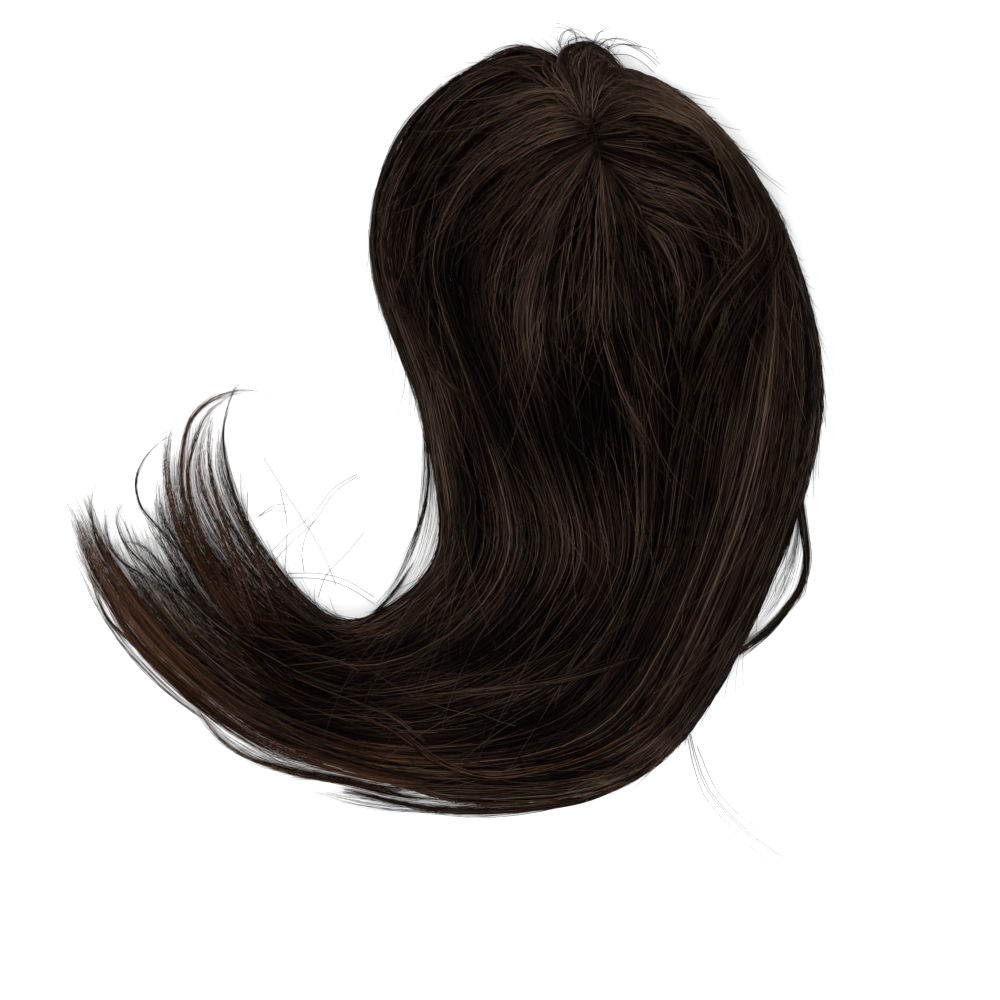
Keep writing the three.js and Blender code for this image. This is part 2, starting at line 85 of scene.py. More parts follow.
# From the nape to the tip, where the middle meets the hair on its left and on its right
LEFT_OF_MIDDLE = (
    (-0.1, -0.175), (-0.058, -0.315), (-0.115, -0.405), (-0.237, -0.443), (-0.357, -0.385),
    (-0.423, -0.285), (-0.427, -0.205),
)
RIGHT_OF_MIDDLE = (
    (0.087, -0.18), (0.06, -0.34), (-0.025, -0.475), (-0.215, -0.51), (-0.398, -0.427),
    (-0.473, -0.337), (-0.507, -0.28),
)
GUIDES = {
    "inner_edge": (LONG, (
        (-0.09, 0.95), (-0.4, 1.06), (-0.97, 0.82), (-1.38, 0.0), (-0.176, -0.165),
        (-0.157, -0.312), (-0.186, -0.359), (-0.249, -0.387), (-0.308, -0.343), (-0.369, -0.227),
        (-0.361, -0.16))),
    "left_mid": (LONG, (
        (-0.055, 0.77), (-0.37, 0.74), (-0.77, 0.51), (-1.09, -0.06), (-0.14, -0.167),
        (-0.118, -0.31), (-0.163, -0.375), (-0.245, -0.413), (-0.333, -0.365), (-0.403, -0.265),
        (-0.399, -0.177))),
    "left_inner": (LONG, (
        (-0.01, 0.59), (-0.3, 0.52), (-0.74, 0.24), (-0.92, -0.2), *LEFT_OF_MIDDLE)),
    "middle_left": (LONG, (
        (-0.005, 0.57), (-0.28, 0.5), (-0.72, 0.2), (-0.9, -0.24), *LEFT_OF_MIDDLE)),
    "middle": (LONG, (
        (0.02, 0.42), (0.01, 0.17), (-0.02, -0.09), (-0.09, -0.63), (-0.008, -0.205),
        (0.014, -0.335), (-0.075, -0.44), (-0.227, -0.477), (-0.38, -0.407), (-0.437, -0.325),
        (-0.452, -0.273))),
    "middle_right": (LONG, (
        (0.06, 0.4), (0.2, 0.23), (0.34, -0.06), (0.44, -0.63), *RIGHT_OF_MIDDLE)),
    "right_inner": (LONG, (
        (0.0, 0.59), (0.28, 0.69), (0.675, 0.545), (0.92, -0.1), *RIGHT_OF_MIDDLE)),
    "right_mid": (LONG, (
        (-0.045, 0.79), (0.28, 0.78), (0.71, 0.575), (1.06, 0.0), (0.165, -0.165), (0.12, -0.33),
        (0.015, -0.502), (-0.207, -0.53), (-0.412, -0.44), (-0.5, -0.327), (-0.523, -0.277))),
    "right_outer": (LONG, (
        (-0.065, 0.87), (0.28, 0.85), (0.735, 0.6), (1.12, 0.0), (0.2, -0.162), (0.162, -0.323),
        (0.04, -0.52), (-0.183, -0.547), (-0.323, -0.503), (-0.36, -0.485), (-0.388, -0.467))),
    "outer_edge": (LONG, (
        (-0.08, 0.96), (0.28, 0.93), (0.76, 0.62), (1.18, 0.0), (0.228, -0.16), (0.19, -0.314),
        (0.062, -0.529), (-0.115, -0.567), (-0.195, -0.55), (-0.25, -0.533), (-0.295, -0.523))),
    "swirl_outer": (SHORT, (
        (0.0, 0.58), (0.3, 0.66), (0.7, 0.5), (0.93, 0.0), (0.123, -0.085), (0.1, -0.19))),
    "swirl_inner": (SHORT, (
        (0.06, 0.27), (0.18, 0.08), (0.32, -0.12), (0.39, -0.38), (0.066, -0.105), (0.055, -0.2))),
    "swirl_low": (SHORT, (
        (0.05, 0.37), (0.28, 0.21), (0.6, 0.12), (0.75, -0.12), (0.108, -0.075), (0.083, -0.185))),
    "swirl_mid": (SHORT, (
        (0.02, 0.49), (0.32, 0.4), (0.72, 0.25), (0.85, -0.06), (0.125, -0.07), (0.093, -0.185))),
    "top_left": (SHORT, (
        (-0.02, 0.5), (-0.2, 0.26), (-0.36, 0.0), (-0.52, -0.5), (-0.07, -0.16), (-0.02, -0.215))),
    "top_right": (SHORT, (
        (0.05, 0.38), (0.12, 0.15), (0.19, -0.1), (0.26, -0.5), (0.052, -0.14), (0.028, -0.225))),
    "tuft_left": (TUFT, (
        (-0.1, 0.74), (-0.2, 0.96), (-0.2, 1.07))),
    "tuft_right": (TUFT, (
        (-0.02, 0.77), (0.08, 0.97), (0.08, 1.06))),
}

# Depth of the hair at each station of a guide, as a share of the greatest depth
DEPTH_AT = {
    "root": 0.3, "rise": 0.5, "crown": 0.65, "temple": 0.85, "nape": 1, "bend": 1, "turn": 1,
    "sweep": 0.9, "curl": 0.7, "flick": 0.4, "tip": 0.15, "hairline": 0.15,
}


class Section(NamedTuple):
    """A section of hair. Right and left are those of a hair that runs from root to tip."""

    name: str
    guides: tuple  # from its right to its left
    bed: float  # height of its underside, as a share of the hair's depth there
    lift: float  # height of its top, as a share of the hair's depth there
    edges: tuple  # whether the right and the left edge are thin or thick
    open: tuple  # whether nothing lies beside the right and the left edge
    strands: int
    steps: int
    locks: int
    clumps: int
    ends: float  # last share of the length, over which its hairs end
    core: float  # share of the length to which its core reaches
    warmth: float  # how red its tips are


SECTIONS = (
    Section(
        name="front_tuft", guides=("tuft_right", "tuft_left"), bed=0, lift=0.8,
        edges=("thin", "thin"), open=(True, True), strands=200, steps=9, locks=4, clumps=12,
        ends=0.35, core=0.85, warmth=0.1,
    ),
    Section(
        name="top_fall", guides=("top_left", "top_right"), bed=0.7, lift=1.3,
        edges=("thin", "thin"), open=(True, True), strands=900, steps=15, locks=9, clumps=40,
        ends=0.5, core=0.62, warmth=0.25,
    ),
    Section(
        name="right_curtain", guides=("right_inner", "right_mid", "right_outer", "outer_edge"),
        bed=0, lift=1, edges=("thick", "thin"), open=(False, True), strands=1160, steps=24,
        locks=13, clumps=56, ends=0.16, core=0.84, warmth=0.8,
    ),
    Section(
        name="left_curtain", guides=("inner_edge", "left_mid", "left_inner"), bed=0, lift=1,
        edges=("thin", "thick"), open=(True, False), strands=1080, steps=24, locks=12, clumps=50,
        ends=0.26, core=0.76, warmth=0.8,
    ),
    Section(
        name="right_swirl", guides=("swirl_inner", "swirl_low", "swirl_mid", "swirl_outer"), bed=0,
        lift=0.7, edges=("thin", "thin"), open=(False, False), strands=800, steps=15, locks=7,
        clumps=60, ends=0.06, core=1, warmth=0.2,
    ),
    Section(
        name="middle_fall", guides=("middle_left", "middle", "middle_right"), bed=0, lift=0.95,
        edges=("thick", "thick"), open=(False, False), strands=1050, steps=24, locks=12, clumps=50,
        ends=0.28, core=0.76, warmth=0.75,
    ),
)


class Wisp(NamedTuple):
    """A thin lock of hairs laid along a listed path, over the mass or beside it.

    Places and widths are in thousandths of the layout's span, places from the base's middle.
    """

    count: int
    wide: tuple  # widths at the root, halfway and at the tip
    thick: float  # thickness of its hairs, as a share of a strand's
    tone: float  # how much lighter it is than the mass, partly its own lighter hair and partly a painted highlight
    warmth: float  # how red it is
    path: tuple  # places that it passes, from its root to its tip
    even: bool = False  # its hairs are spread evenly, and not denser along its middle
    begin: float = 0.15  # share of its length over which its hairs begin
    high: float = math.inf  # height that what it lies on is taken to have at most


CURL_WISPS = (
    Wisp(34, (18, 12, 7), 0.55, 0.15, 0.9, (
        (-333, -405), (-367, -365), (-397, -319), (-408, -274), (-413, -243), (-411, -211),
        (-404, -185), (-388, -168), (-365, -158), (-343, -156), (-320, -161))),
    Wisp(44, (20, 22, 18), 0.5, 0.25, 1.0, (
        (-355, -395), (-383, -355), (-416, -294), (-426, -258), (-429, -227), (-426, -198),
        (-419, -180))),
    Wisp(24, (14, 12, 9), 0.5, 0.15, 0.9, (
        (-345, -395), (-373, -345), (-391, -306), (-404, -268), (-407, -236), (-400, -204),
        (-388, -179), (-372, -166), (-359, -158))),
    Wisp(22, (14, 10, 6), 0.55, 0.15, 0.9, (
        (-340, -390), (-359, -340), (-375, -294), (-391, -258), (-396, -227), (-391, -198),
        (-379, -174))),
    Wisp(22, (14, 10, 6), 0.55, 0.15, 0.8, (
        (-333, -390), (-350, -345), (-365, -300), (-378, -265), (-385, -233), (-385, -198),
        (-376, -173))),
    Wisp(24, (12, 8, 5), 0.55, 0.0, 0.6, (
        (-310, -390), (-327, -355), (-340, -313), (-356, -274), (-367, -239), (-372, -207),
        (-370, -182), (-359, -153), (-352, -143))),
    Wisp(5, (8, 6, 6), 0.35, 0.1, 0.5, (
        (-325, -355), (-343, -305), (-352, -265), (-354, -235), (-349, -205))),
    Wisp(12, (10, 4, 5), 0.5, 0.05, 0.4, (
        (-370, -365), (-399, -331), (-423, -306), (-442, -287), (-455, -271), (-459, -252),
        (-456, -236), (-447, -220), (-434, -207), (-423, -201))),
    Wisp(14, (8, 12, 14), 0.45, 0.05, 0.6, (
        (-405, -325), (-427, -292), (-437, -265), (-435, -235))),
    Wisp(70, (40, 34, 16), 0.9, -0.02, 0.5, (
        (-300, -445), (-342, -414), (-381, -383), (-407, -354), (-428, -322))),
    Wisp(80, (40, 34, 14), 0.85, 0.0, 0.45, (
        (-328, -464), (-365, -441), (-400, -413), (-427, -384), (-451, -355), (-468, -331))),
)
END_WISPS = (
    Wisp(56, (30, 32, 34), 0.55, 0.2, 0.75, (
        (-355, -485), (-397, -450), (-445, -405), (-483, -357), (-503, -320), (-519, -285),
        (-535, -255))),
    Wisp(36, (30, 30, 36), 0.45, 0.15, 0.75, (
        (-365, -470), (-415, -420), (-460, -365), (-487, -320), (-503, -280), (-513, -250))),
    Wisp(18, (12, 8, 12), 0.55, -0.05, 0.5, (
        (-425, -395), (-470, -345), (-490, -322), (-501, -294), (-504, -271), (-499, -246))),
    Wisp(18, (14, 12, 16), 0.4, 0.0, 0.5, (
        (-395, -390), (-445, -345), (-474, -325), (-487, -306), (-490, -281), (-485, -255))),
    Wisp(14, (16, 14, 10), 0.45, 0.05, 0.4, (
        (-365, -395), (-404, -370), (-442, -335), (-467, -313), (-477, -294), (-476, -273),
        (-464, -265))),
    Wisp(12, (14, 12, 12), 0.45, 0.05, 0.4, (
        (-380, -385), (-416, -357), (-436, -327), (-455, -310), (-474, -306), (-487, -313))),
    Wisp(10, (12, 10, 10), 0.45, 0.05, 0.4, (
        (-380, -375), (-405, -350), (-430, -315), (-447, -290), (-457, -273))),
    Wisp(70, (26, 24, 26), 0.6, 0.15, 0.8, (
        (-300, -530), (-370, -487), (-410, -454), (-442, -424), (-469, -394), (-486, -364),
        (-503, -334), (-515, -304), (-521, -283))),
    Wisp(44, (30, 30, 28), 0.55, 0.12, 0.7, (
        (-290, -525), (-354, -494), (-398, -460), (-432, -428), (-459, -397), (-478, -366),
        (-494, -333), (-508, -300))),
    Wisp(14, (12, 6, 4), 0.6, 0.0, 0.6, (
        (-400, -462), (-430, -438), (-458, -412), (-486, -386), (-502, -351), (-508, -325))),
    Wisp(16, (12, 7, 5), 0.6, 0.0, 0.7, (
        (-330, -512), (-388, -478), (-420, -450), (-447, -422), (-470, -395))),
    Wisp(90, (10, 32, 24), 0.45, 0.1, 0.8, (
        (-165, -550), (-205, -547), (-250, -538), (-295, -527), (-337, -513), (-371, -493),
        (-400, -467)), even=True),
    Wisp(45, (8, 12, 14), 0.5, 0.05, 0.7, (
        (90, -490), (45, -540), (-5, -561), (-55, -568), (-105, -570), (-155, -567), (-205, -558))),
    Wisp(30, (12, 18, 16), 0.45, 0.0, 0.8, (
        (-145, -565), (-195, -561), (-244, -549), (-308, -535), (-353, -520), (-381, -498),
        (-397, -475), (-405, -457))),
    Wisp(26, (14, 20, 16), 0.5, 0.05, 0.8, (
        (-165, -550), (-235, -540), (-295, -523), (-340, -500), (-370, -477))),
    Wisp(26, (10, 12, 16), 0.4, 0.0, 0.7, (
        (-175, -565), (-244, -547), (-292, -542), (-334, -538))),
    Wisp(26, (8, 12, 20), 0.4, 0.0, 0.6, (
        (-75, -577), (-149, -574), (-196, -568), (-238, -558), (-270, -556))),
    Wisp(30, (8, 16, 18), 0.35, 0.0, 0.5, (
        (-375, -493), (-430, -450), (-474, -400), (-506, -345), (-524, -300)), even=True),
    Wisp(20, (6, 9, 16), 0.35, 0.0, 0.5, (
        (-60, -567), (-130, -575), (-200, -573), (-262, -562), (-304, -549)), even=True),
    Wisp(16, (8, 18, 30), 0.35, 0.0, 0.5, (
        (-470, -345), (-497, -305), (-514, -270), (-530, -235)), even=True),
    Wisp(22, (10, 22, 34), 0.35, 0.0, 0.4, (
        (-415, -370), (-452, -325), (-470, -290), (-480, -250)), even=True),
    Wisp(16, (10, 20, 30), 0.35, 0.0, 0.4, (
        (-400, -345), (-425, -310), (-440, -280), (-446, -245)), even=True),
)
VEIL_WISPS = (
    Wisp(40, (4, 44, 8), 0.45, 0.1, 0.3, (
        (203, -270), (203, -303), (197, -335), (183, -365), (160, -393), (134, -420)), even=True),
    Wisp(110, (8, 10, 6), 0.8, 0.0, 0.2, (
        (-150, 149), (-184, 115), (-203, 84), (-218, 39), (-223, -5), (-220, -38), (-209, -80),
        (-197, -111), (-185, -141), (-175, -171), (-168, -203))),
    Wisp(16, (5, 9, 10), 0.6, 0.0, 0.3, (
        (-177, -165), (-170, -195), (-167, -220), (-167, -250), (-171, -277), (-182, -308),
        (-198, -343), (-217, -371), (-243, -391))),
    Wisp(26, (8, 26, 20), 0.35, 0.2, 0.4, (
        (-171, -160), (-166, -205), (-165, -250), (-167, -285), (-176, -318), (-193, -350),
        (-220, -379)), even=True),
    Wisp(30, (4, 10, 8), 0.5, 0.05, 0.4, (
        (-180, -325), (-205, -362), (-235, -388), (-270, -390), (-305, -368), (-335, -325))),
)
CROSSING_WISPS = (
    Wisp(40, (20, 14, 10), 0.6, 0.22, 0.3, (
        (45, -420), (-35, -445), (-95, -453), (-145, -458), (-195, -464), (-240, -471))),
    Wisp(30, (14, 10, 10), 0.8, 0.2, 0.7, (
        (65, -480), (5, -515), (-49, -532), (-105, -541), (-155, -527), (-199, -497),
        (-245, -475))),
    Wisp(10, (8, 14, 24), 0.4, 0.3, 0.3, (
        (-165, -510), (-205, -480), (-245, -465))),
    Wisp(8, (16, 8, 6), 0.4, 0.35, 0.3, (
        (-135, -462), (-195, -470), (-245, -490))),
    Wisp(6, (3, 5, 4), 0.5, 0.35, 0.2, (
        (10, 67), (55, 53), (95, 45), (120, 32), (135, 13), (138, -20), (127, -50))),
    Wisp(100, (14, 44, 20), 0.7, 0.1, 0.0, (
        (150, 60), (172, 22), (168, -10), (142, -42), (115, -78), (98, -118), (88, -168),
        (83, -215)), begin=0.4),
    Wisp(60, (14, 36, 24), 0.7, 0.1, 0.0, (
        (170, 40), (184, 5), (178, -30), (155, -65), (135, -105), (118, -150),
        (105, -200)), begin=0.4),
    Wisp(40, (10, 20, 14), 0.6, 0.12, 0.2, (
        (-210, -68), (-188, -77), (-172, -112), (-149, -148), (-121, -176), (-105, -230))),
    Wisp(60, (10, 24, 18), 0.6, 0.15, 0.1, (
        (8, -95), (18, -130), (30, -165), (42, -195), (55, -218))),
    Wisp(3, (4, 4, 4), 0.4, 0.3, 0.2, (
        (-127, 75), (-92, 98), (-70, 92))),
)
# Wisps that fan out from one root to tips along the top of the tuft
TUFT_TIPS = (
    (-34, 183), (-25, 188), (-16, 190), (-7, 189), (2, 185), (10, 178), (17, 171), (26, 163),
)
TUFT_FAN = tuple(
    Wisp(44, (24, 20, 14), 1.15, 0.12, 0.15, ((-9, 120), (0.45 * x - 6, 0.5 * y + 65), (x, y)))
    for x, y in TUFT_TIPS
)
TUFT_WISPS = TUFT_FAN + (
    Wisp(60, (14, 16, 8), 0.8, 0.1, 0.1, (
        (-24, 148), (-38, 170), (-55, 182), (-78, 186), (-100, 179), (-125, 165))),
    Wisp(60, (20, 14, 8), 0.8, 0.15, 0.1, (
        (-8, 117), (-16, 150), (-17, 172), (-6, 186), (9, 183), (22, 168))),
    Wisp(60, (20, 14, 10), 0.8, 0.12, 0.1, (
        (-6, 116), (-10, 145), (-8, 168), (3, 178), (17, 173), (30, 160))),
    Wisp(50, (20, 14, 12), 0.8, 0.1, 0.1, (
        (-4, 114), (-3, 138), (3, 158), (16, 165), (32, 160), (50, 150))),
    Wisp(60, (20, 16, 8), 0.8, 0.15, 0.15, (
        (-10, 118), (-24, 145), (-33, 163), (-35, 176), (-28, 187), (-13, 192))),
    Wisp(60, (22, 16, 10), 0.8, 0.15, 0.1, (
        (-9, 118), (-19, 148), (-25, 168), (-20, 183), (-8, 190), (5, 188))),
    Wisp(50, (20, 20, 12), 0.8, 0.15, 0.2, (
        (-11, 118), (-30, 142), (-44, 158), (-50, 170), (-47, 180))),
    Wisp(50, (20, 24, 16), 0.8, 0.1, 0.2, (
        (-12, 118), (-35, 140), (-60, 158), (-82, 168), (-106, 170))),
    Wisp(5, (4, 6, 4), 0.5, 0.0, 0.1, (
        (-9, 150), (-22, 180), (-27, 193), (-15, 198), (-3, 194), (8, 185), (17, 173))),
    Wisp(60, (22, 30, 30), 0.7, 0.25, 0.4, (
        (-10, 119), (-25, 137), (-45, 143), (-70, 140), (-95, 128))),
    Wisp(60, (20, 26, 26), 0.7, 0.15, 0.15, (
        (-3, 115), (12, 132), (35, 140), (60, 135), (85, 122))),
    Wisp(50, (20, 24, 24), 0.7, 0.15, 0.2, (
        (-5, 108), (-22, 117), (-48, 116), (-75, 102), (-100, 82))),
    Wisp(40, (16, 20, 24), 0.7, 0.1, 0.1, (
        (2, 100), (18, 108), (42, 106), (70, 94), (95, 78))),
    Wisp(60, (12, 14, 12), 0.9, 0.12, 0.15, (
        (-14, 148), (-31, 170), (-30, 183), (-19, 189), (-2, 188), (12, 180), (25, 165),
        (32, 154))),
    Wisp(50, (16, 18, 14), 0.9, 0.12, 0.15, (
        (-10, 140), (-23, 163), (-20, 177), (-6, 182), (8, 178), (20, 166), (28, 154))),
)
WISPS = {
    "curl_wisps": CURL_WISPS, "end_wisps": END_WISPS, "veil_wisps": VEIL_WISPS,
    "crossing_wisps": CROSSING_WISPS, "tuft_wisps": TUFT_WISPS,
}
LOOSE_LOCKS = {
    "side_lock": Wisp(150, (12, 13, 14), 0.8, -0.05, 0.3, (
        (202, -235), (205, -265), (209, -295), (212, -325), (206, -350), (194, -370), (173, -395),
        (151, -412), (134, -423), (111, -445)), high=12),
    "under_lock": Wisp(110, (4, 12, 6), 0.8, 0.0, 0.6, (
        (92, -501), (57, -532), (5, -559), (-35, -570), (-95, -577), (-155, -575), (-215, -564),
        (-255, -555)), high=8),
}


class PaintedLightAndRedPatch(NamedTuple):
    """A stretch of the laid out hair, in thousandths of the layout's span.

    Most are painted light: a painted highlight where the tone rises, and painted shade in gaps
    and hollows where it falls. A few are the hair's own lighter, redder colour.
    """

    at: tuple  # its middle, from the middle of the base
    reach: tuple
    tone: float  # what it adds to the tone; on most patches a painted highlight when it adds and painted shade when it takes away
    warm: float = 0  # how much redder the hair is there


# Painted highlights and painted shade over the laid out hair, with some of the hair's own redness
PAINTED_LIGHT_AND_RED_PATCHES = (
    PaintedLightAndRedPatch((-45, 128), (36, 30), 0.42, 0.4),
    PaintedLightAndRedPatch((-50, 20), (50, 70), 0.06),
    PaintedLightAndRedPatch((-65, -95), (22, 50), 0.1),
    PaintedLightAndRedPatch((75, 50), (45, 18), 0.2),
    PaintedLightAndRedPatch((85, -220), (22, 90), -0.08),
    PaintedLightAndRedPatch((150, -200), (26, 90), 0.16),
    PaintedLightAndRedPatch((170, -120), (12, 50), 0.2),
    PaintedLightAndRedPatch((-155, -215), (14, 70), 0.2, 0.1),
    PaintedLightAndRedPatch((-165, -330), (18, 60), 0.12, 0.1),
    PaintedLightAndRedPatch((-188, -110), (12, 40), 0.15, 0.1),
    PaintedLightAndRedPatch((75, 125), (45, 24), 0.4, 0.25),
    PaintedLightAndRedPatch((-70, 110), (50, 40), 0.1),
    PaintedLightAndRedPatch((-200, 0), (14, 60), 0.12),
    PaintedLightAndRedPatch((-205, -515), (40, 14), 0.18, 0.3),
    PaintedLightAndRedPatch((-455, -385), (50, 60), 0.4, 0.2),
    PaintedLightAndRedPatch((-115, -453), (70, 9), 0.14, 0.1),
    PaintedLightAndRedPatch((-133, -95), (18, 80), -0.4),
    PaintedLightAndRedPatch((-155, 10), (24, 70), -0.16),
    PaintedLightAndRedPatch((85, 85), (40, 12), -0.2),
    PaintedLightAndRedPatch((138, 45), (12, 40), -0.15),
    PaintedLightAndRedPatch((0, -5), (35, 60), -0.1),
    PaintedLightAndRedPatch((0, -165), (24, 50), -0.35),
    PaintedLightAndRedPatch((-35, -205), (45, 40), -0.38),
    PaintedLightAndRedPatch((-183, 75), (12, 45), -0.3),
    PaintedLightAndRedPatch((72, -130), (16, 70), -0.12),
    PaintedLightAndRedPatch((70, -320), (24, 70), -0.05),
    PaintedLightAndRedPatch((115, -250), (12, 50), -0.18),
    PaintedLightAndRedPatch((135, -110), (16, 40), -0.25),
    PaintedLightAndRedPatch((211, -116), (8, 50), -0.3),
    PaintedLightAndRedPatch((-97, -175), (26, 60), -0.3),
    PaintedLightAndRedPatch((-115, -280), (10, 60), -0.2),
    PaintedLightAndRedPatch((-55, -385), (70, 40), -0.2),
    PaintedLightAndRedPatch((-140, -415), (110, 24), -0.35),
    PaintedLightAndRedPatch((-70, -485), (80, 16), -0.35),
    PaintedLightAndRedPatch((-35, -535), (55, 25), -0.25),
    PaintedLightAndRedPatch((20, -445), (40, 30), -0.12),
    PaintedLightAndRedPatch((-275, -480), (60, 45), -0.22),
    PaintedLightAndRedPatch((-300, -410), (60, 30), -0.25),
    PaintedLightAndRedPatch((-398, -335), (22, 30), -0.3),
    PaintedLightAndRedPatch((-168, -45), (22, 50), -0.2),
    PaintedLightAndRedPatch((-95, -515), (70, 14), -0.2),
    PaintedLightAndRedPatch((-225, -460), (50, 20), -0.15),
    PaintedLightAndRedPatch((28, -125), (12, 25), -0.25),
    PaintedLightAndRedPatch((175, -45), (14, 35), -0.2),
    PaintedLightAndRedPatch((145, -140), (12, 30), -0.15),
    PaintedLightAndRedPatch((50, -400), (20, 30), -0.15),
    PaintedLightAndRedPatch((55, 25), (45, 50), 0.18),
    PaintedLightAndRedPatch((168, -62), (10, 26), -0.5),
    PaintedLightAndRedPatch((147, -112), (9, 32), -0.5),
    PaintedLightAndRedPatch((118, -75), (14, 30), 0.2),
    PaintedLightAndRedPatch((55, 150), (40, 16), 0.25, 0.2),
    PaintedLightAndRedPatch((-40, 60), (30, 30), 0.15),
    PaintedLightAndRedPatch((-185, -70), (10, 30), -0.2),
    PaintedLightAndRedPatch((-360, -440), (50, 40), 0.12, 0.1),
    PaintedLightAndRedPatch((100, 122), (28, 14), 0.15, 0.1),
    PaintedLightAndRedPatch((130, 92), (20, 20), 0.25, 0.1),
    PaintedLightAndRedPatch((118, -20), (18, 32), -0.2),
    PaintedLightAndRedPatch((-150, -170), (12, 45), 0.22),
    PaintedLightAndRedPatch((-120, -225), (10, 50), -0.2),
    PaintedLightAndRedPatch((-20, -325), (25, 50), 0.1),
    PaintedLightAndRedPatch((-60, -90), (12, 45), 0.12),
    PaintedLightAndRedPatch((30, -290), (50, 40), 0.08),
    PaintedLightAndRedPatch((-230, -393), (30, 8), 0.3, 0.2),
    PaintedLightAndRedPatch((-345, -318), (22, 28), 0.25, 0.3),
    PaintedLightAndRedPatch((60, -512), (28, 9), 0.45),
    PaintedLightAndRedPatch((2, -545), (28, 8), 0.42),
    PaintedLightAndRedPatch((57, -125), (13, 48), 0.36),
    PaintedLightAndRedPatch((-35, -95), (12, 30), 0.1),
    PaintedLightAndRedPatch((-155, -155), (12, 40), 0.1),
    PaintedLightAndRedPatch((-155, -335), (14, 34), 0.14),
    PaintedLightAndRedPatch((-35, 85), (26, 24), 0.14),
    PaintedLightAndRedPatch((-5, 175), (26, 16), 0.16),
    PaintedLightAndRedPatch((-230, -395), (40, 14), 0.12),
    PaintedLightAndRedPatch((-125, 55), (18, 30), -0.12),
    PaintedLightAndRedPatch((-50, -50), (24, 20), -0.1),
    PaintedLightAndRedPatch((25, -5), (18, 30), -0.1),
    PaintedLightAndRedPatch((-245, -515), (34, 14), -0.14),
    PaintedLightAndRedPatch((25, -485), (26, 16), -0.12),
)


class Stray(NamedTuple):
    """Single hairs that stray from the mass side by side, placed as a wisp is."""

    count: int
    path: tuple


STRAYS = (
    Stray(3, ((95, -500), (101, -525), (113, -556), (134, -581), (159, -605), (190, -626))),
    Stray(1, ((100, -510), (118, -550), (140, -575), (165, -592))),
    Stray(1, ((-330, -223), (-308, -258), (-289, -287), (-270, -319), (-257, -351))),
    Stray(2, ((-235, -239), (-260, -255), (-279, -281), (-311, -310), (-324, -325))),
    Stray(1, ((-311, -255), (-305, -287), (-306, -319), (-308, -338))),
    Stray(1, ((-346, -255), (-343, -287), (-330, -313), (-318, -332))),
    Stray(2, ((-337, -281), (-324, -274), (-311, -276))),
    Stray(1, ((-289, -338), (-292, -319), (-287, -297), (-279, -284))),
    Stray(1, ((-232, -297), (-251, -319), (-273, -341), (-283, -364))),
    Stray(2, ((-308, -341), (-276, -343), (-251, -351), (-222, -370))),
    Stray(2, ((-36, 190), (-33, 202), (-25, 206), (-15, 202), (-9, 194))),
    Stray(2, ((-20, 190), (-20, 200), (-30, 209), (-46, 212))),
    Stray(3, ((0, 190), (7, 200), (18, 202))),
    Stray(1, ((30, 190), (48, 186), (61, 181), (67, 171))),
    Stray(2, ((10, 186), (27, 190), (44, 184), (58, 174), (66, 166))),
    Stray(1, ((16, 180), (32, 180), (46, 173), (58, 163))),
    Stray(2, ((4, 190), (16, 197), (34, 196), (50, 189))),
)


class Fringe(NamedTuple):
    """Short fuzz along an edge."""

    guides: tuple  # that bound it
    side: int  # 0 where it starts on the right one and 1 on the left one
    start: tuple  # shares of the guides' length between which it starts
    count: int
    length: float  # greatest length, as a share of the layout's span
    lean: float  # how far its hairs lean outwards
    warmth: float


FRINGES = (
    Fringe(("inner_edge", "left_mid"), 0, (0.3, 0.82), 150, 0.1, 0.16, 0.4),
    Fringe(("right_outer", "outer_edge"), 1, (0.12, 0.95), 300, 0.07, 0.18, 0.5),
    Fringe(("inner_edge", "left_mid"), 0, (0.02, 0.3), 60, 0.05, 0.2, 0.2),
    Fringe(("tuft_right", "tuft_left"), 0, (0.6, 1.0), 10, 0.02, 0.7, 0.2),
    Fringe(("tuft_right", "tuft_left"), 1, (0.6, 1.0), 10, 0.02, 0.7, 0.2),
)

# How many single hairs lie askew on each section
ASKEW = {
    "left_curtain": 180, "middle_fall": 180, "right_curtain": 170, "top_fall": 40,
    "right_swirl": 60,
}


def in_metres(thousandths):
    """Lengths from thousandths of the layout's span."""
    return np.array(thousandths) / 1000 * LAYOUT_SPAN


def smooth(low, high, value):
    """0 below low and 1 above high, with a smooth step between them."""
    t = np.clip((value - low) / (high - low), 0, 1)
    return t * t * (3 - 2 * t)


def curve_through(places, samples):
    """A centripetal spline through places, as samples + 1 rows evenly numbered along it."""
    first = 2 * places[0] - places[1]
    last = 2 * places[-1] - places[-2]
    knots = np.vstack([first, places, last])
    apart = np.sqrt(np.linalg.norm(np.diff(knots, axis=0), axis=1))
    share = np.linspace(0, 1, samples + 1) * (len(places) - 1)
    span = np.minimum(share.astype(int), len(places) - 2)
    t = (share - span)[:, None]
    p0, p1, p2, p3 = (knots[span + k] for k in range(4))
    d0, d1, d2 = (apart[span + k][:, None] for k in range(3))
    leave = ((p1 - p0) / d0 - (p2 - p0) / (d0 + d1)) * d1 + (p2 - p1)
    reach = ((p3 - p2) / d2 - (p3 - p1) / (d1 + d2)) * d1 + (p2 - p1)
    return (
        p1 + leave * t + (3 * (p2 - p1) - 2 * leave - reach) * t**2
        + (2 * (p1 - p2) + leave + reach) * t**3
    )


def guide_lines(names):
    """Guides as rows of places seen from above, in the frame."""
    lines = []
    for name in names:
        places = np.array([
            (x * (HALF_WIDTH + HAIR_OVERHANG), y * (HALF_LENGTH + HAIR_OVERHANG))
            if station in ON_BASE else (x * LAYOUT_SPAN, y * LAYOUT_SPAN)
            for station, (x, y) in zip(*GUIDES[name])
        ])
        lines.append(curve_through(places, GUIDE_SAMPLES) + MIDDLE)
    return np.array(lines)


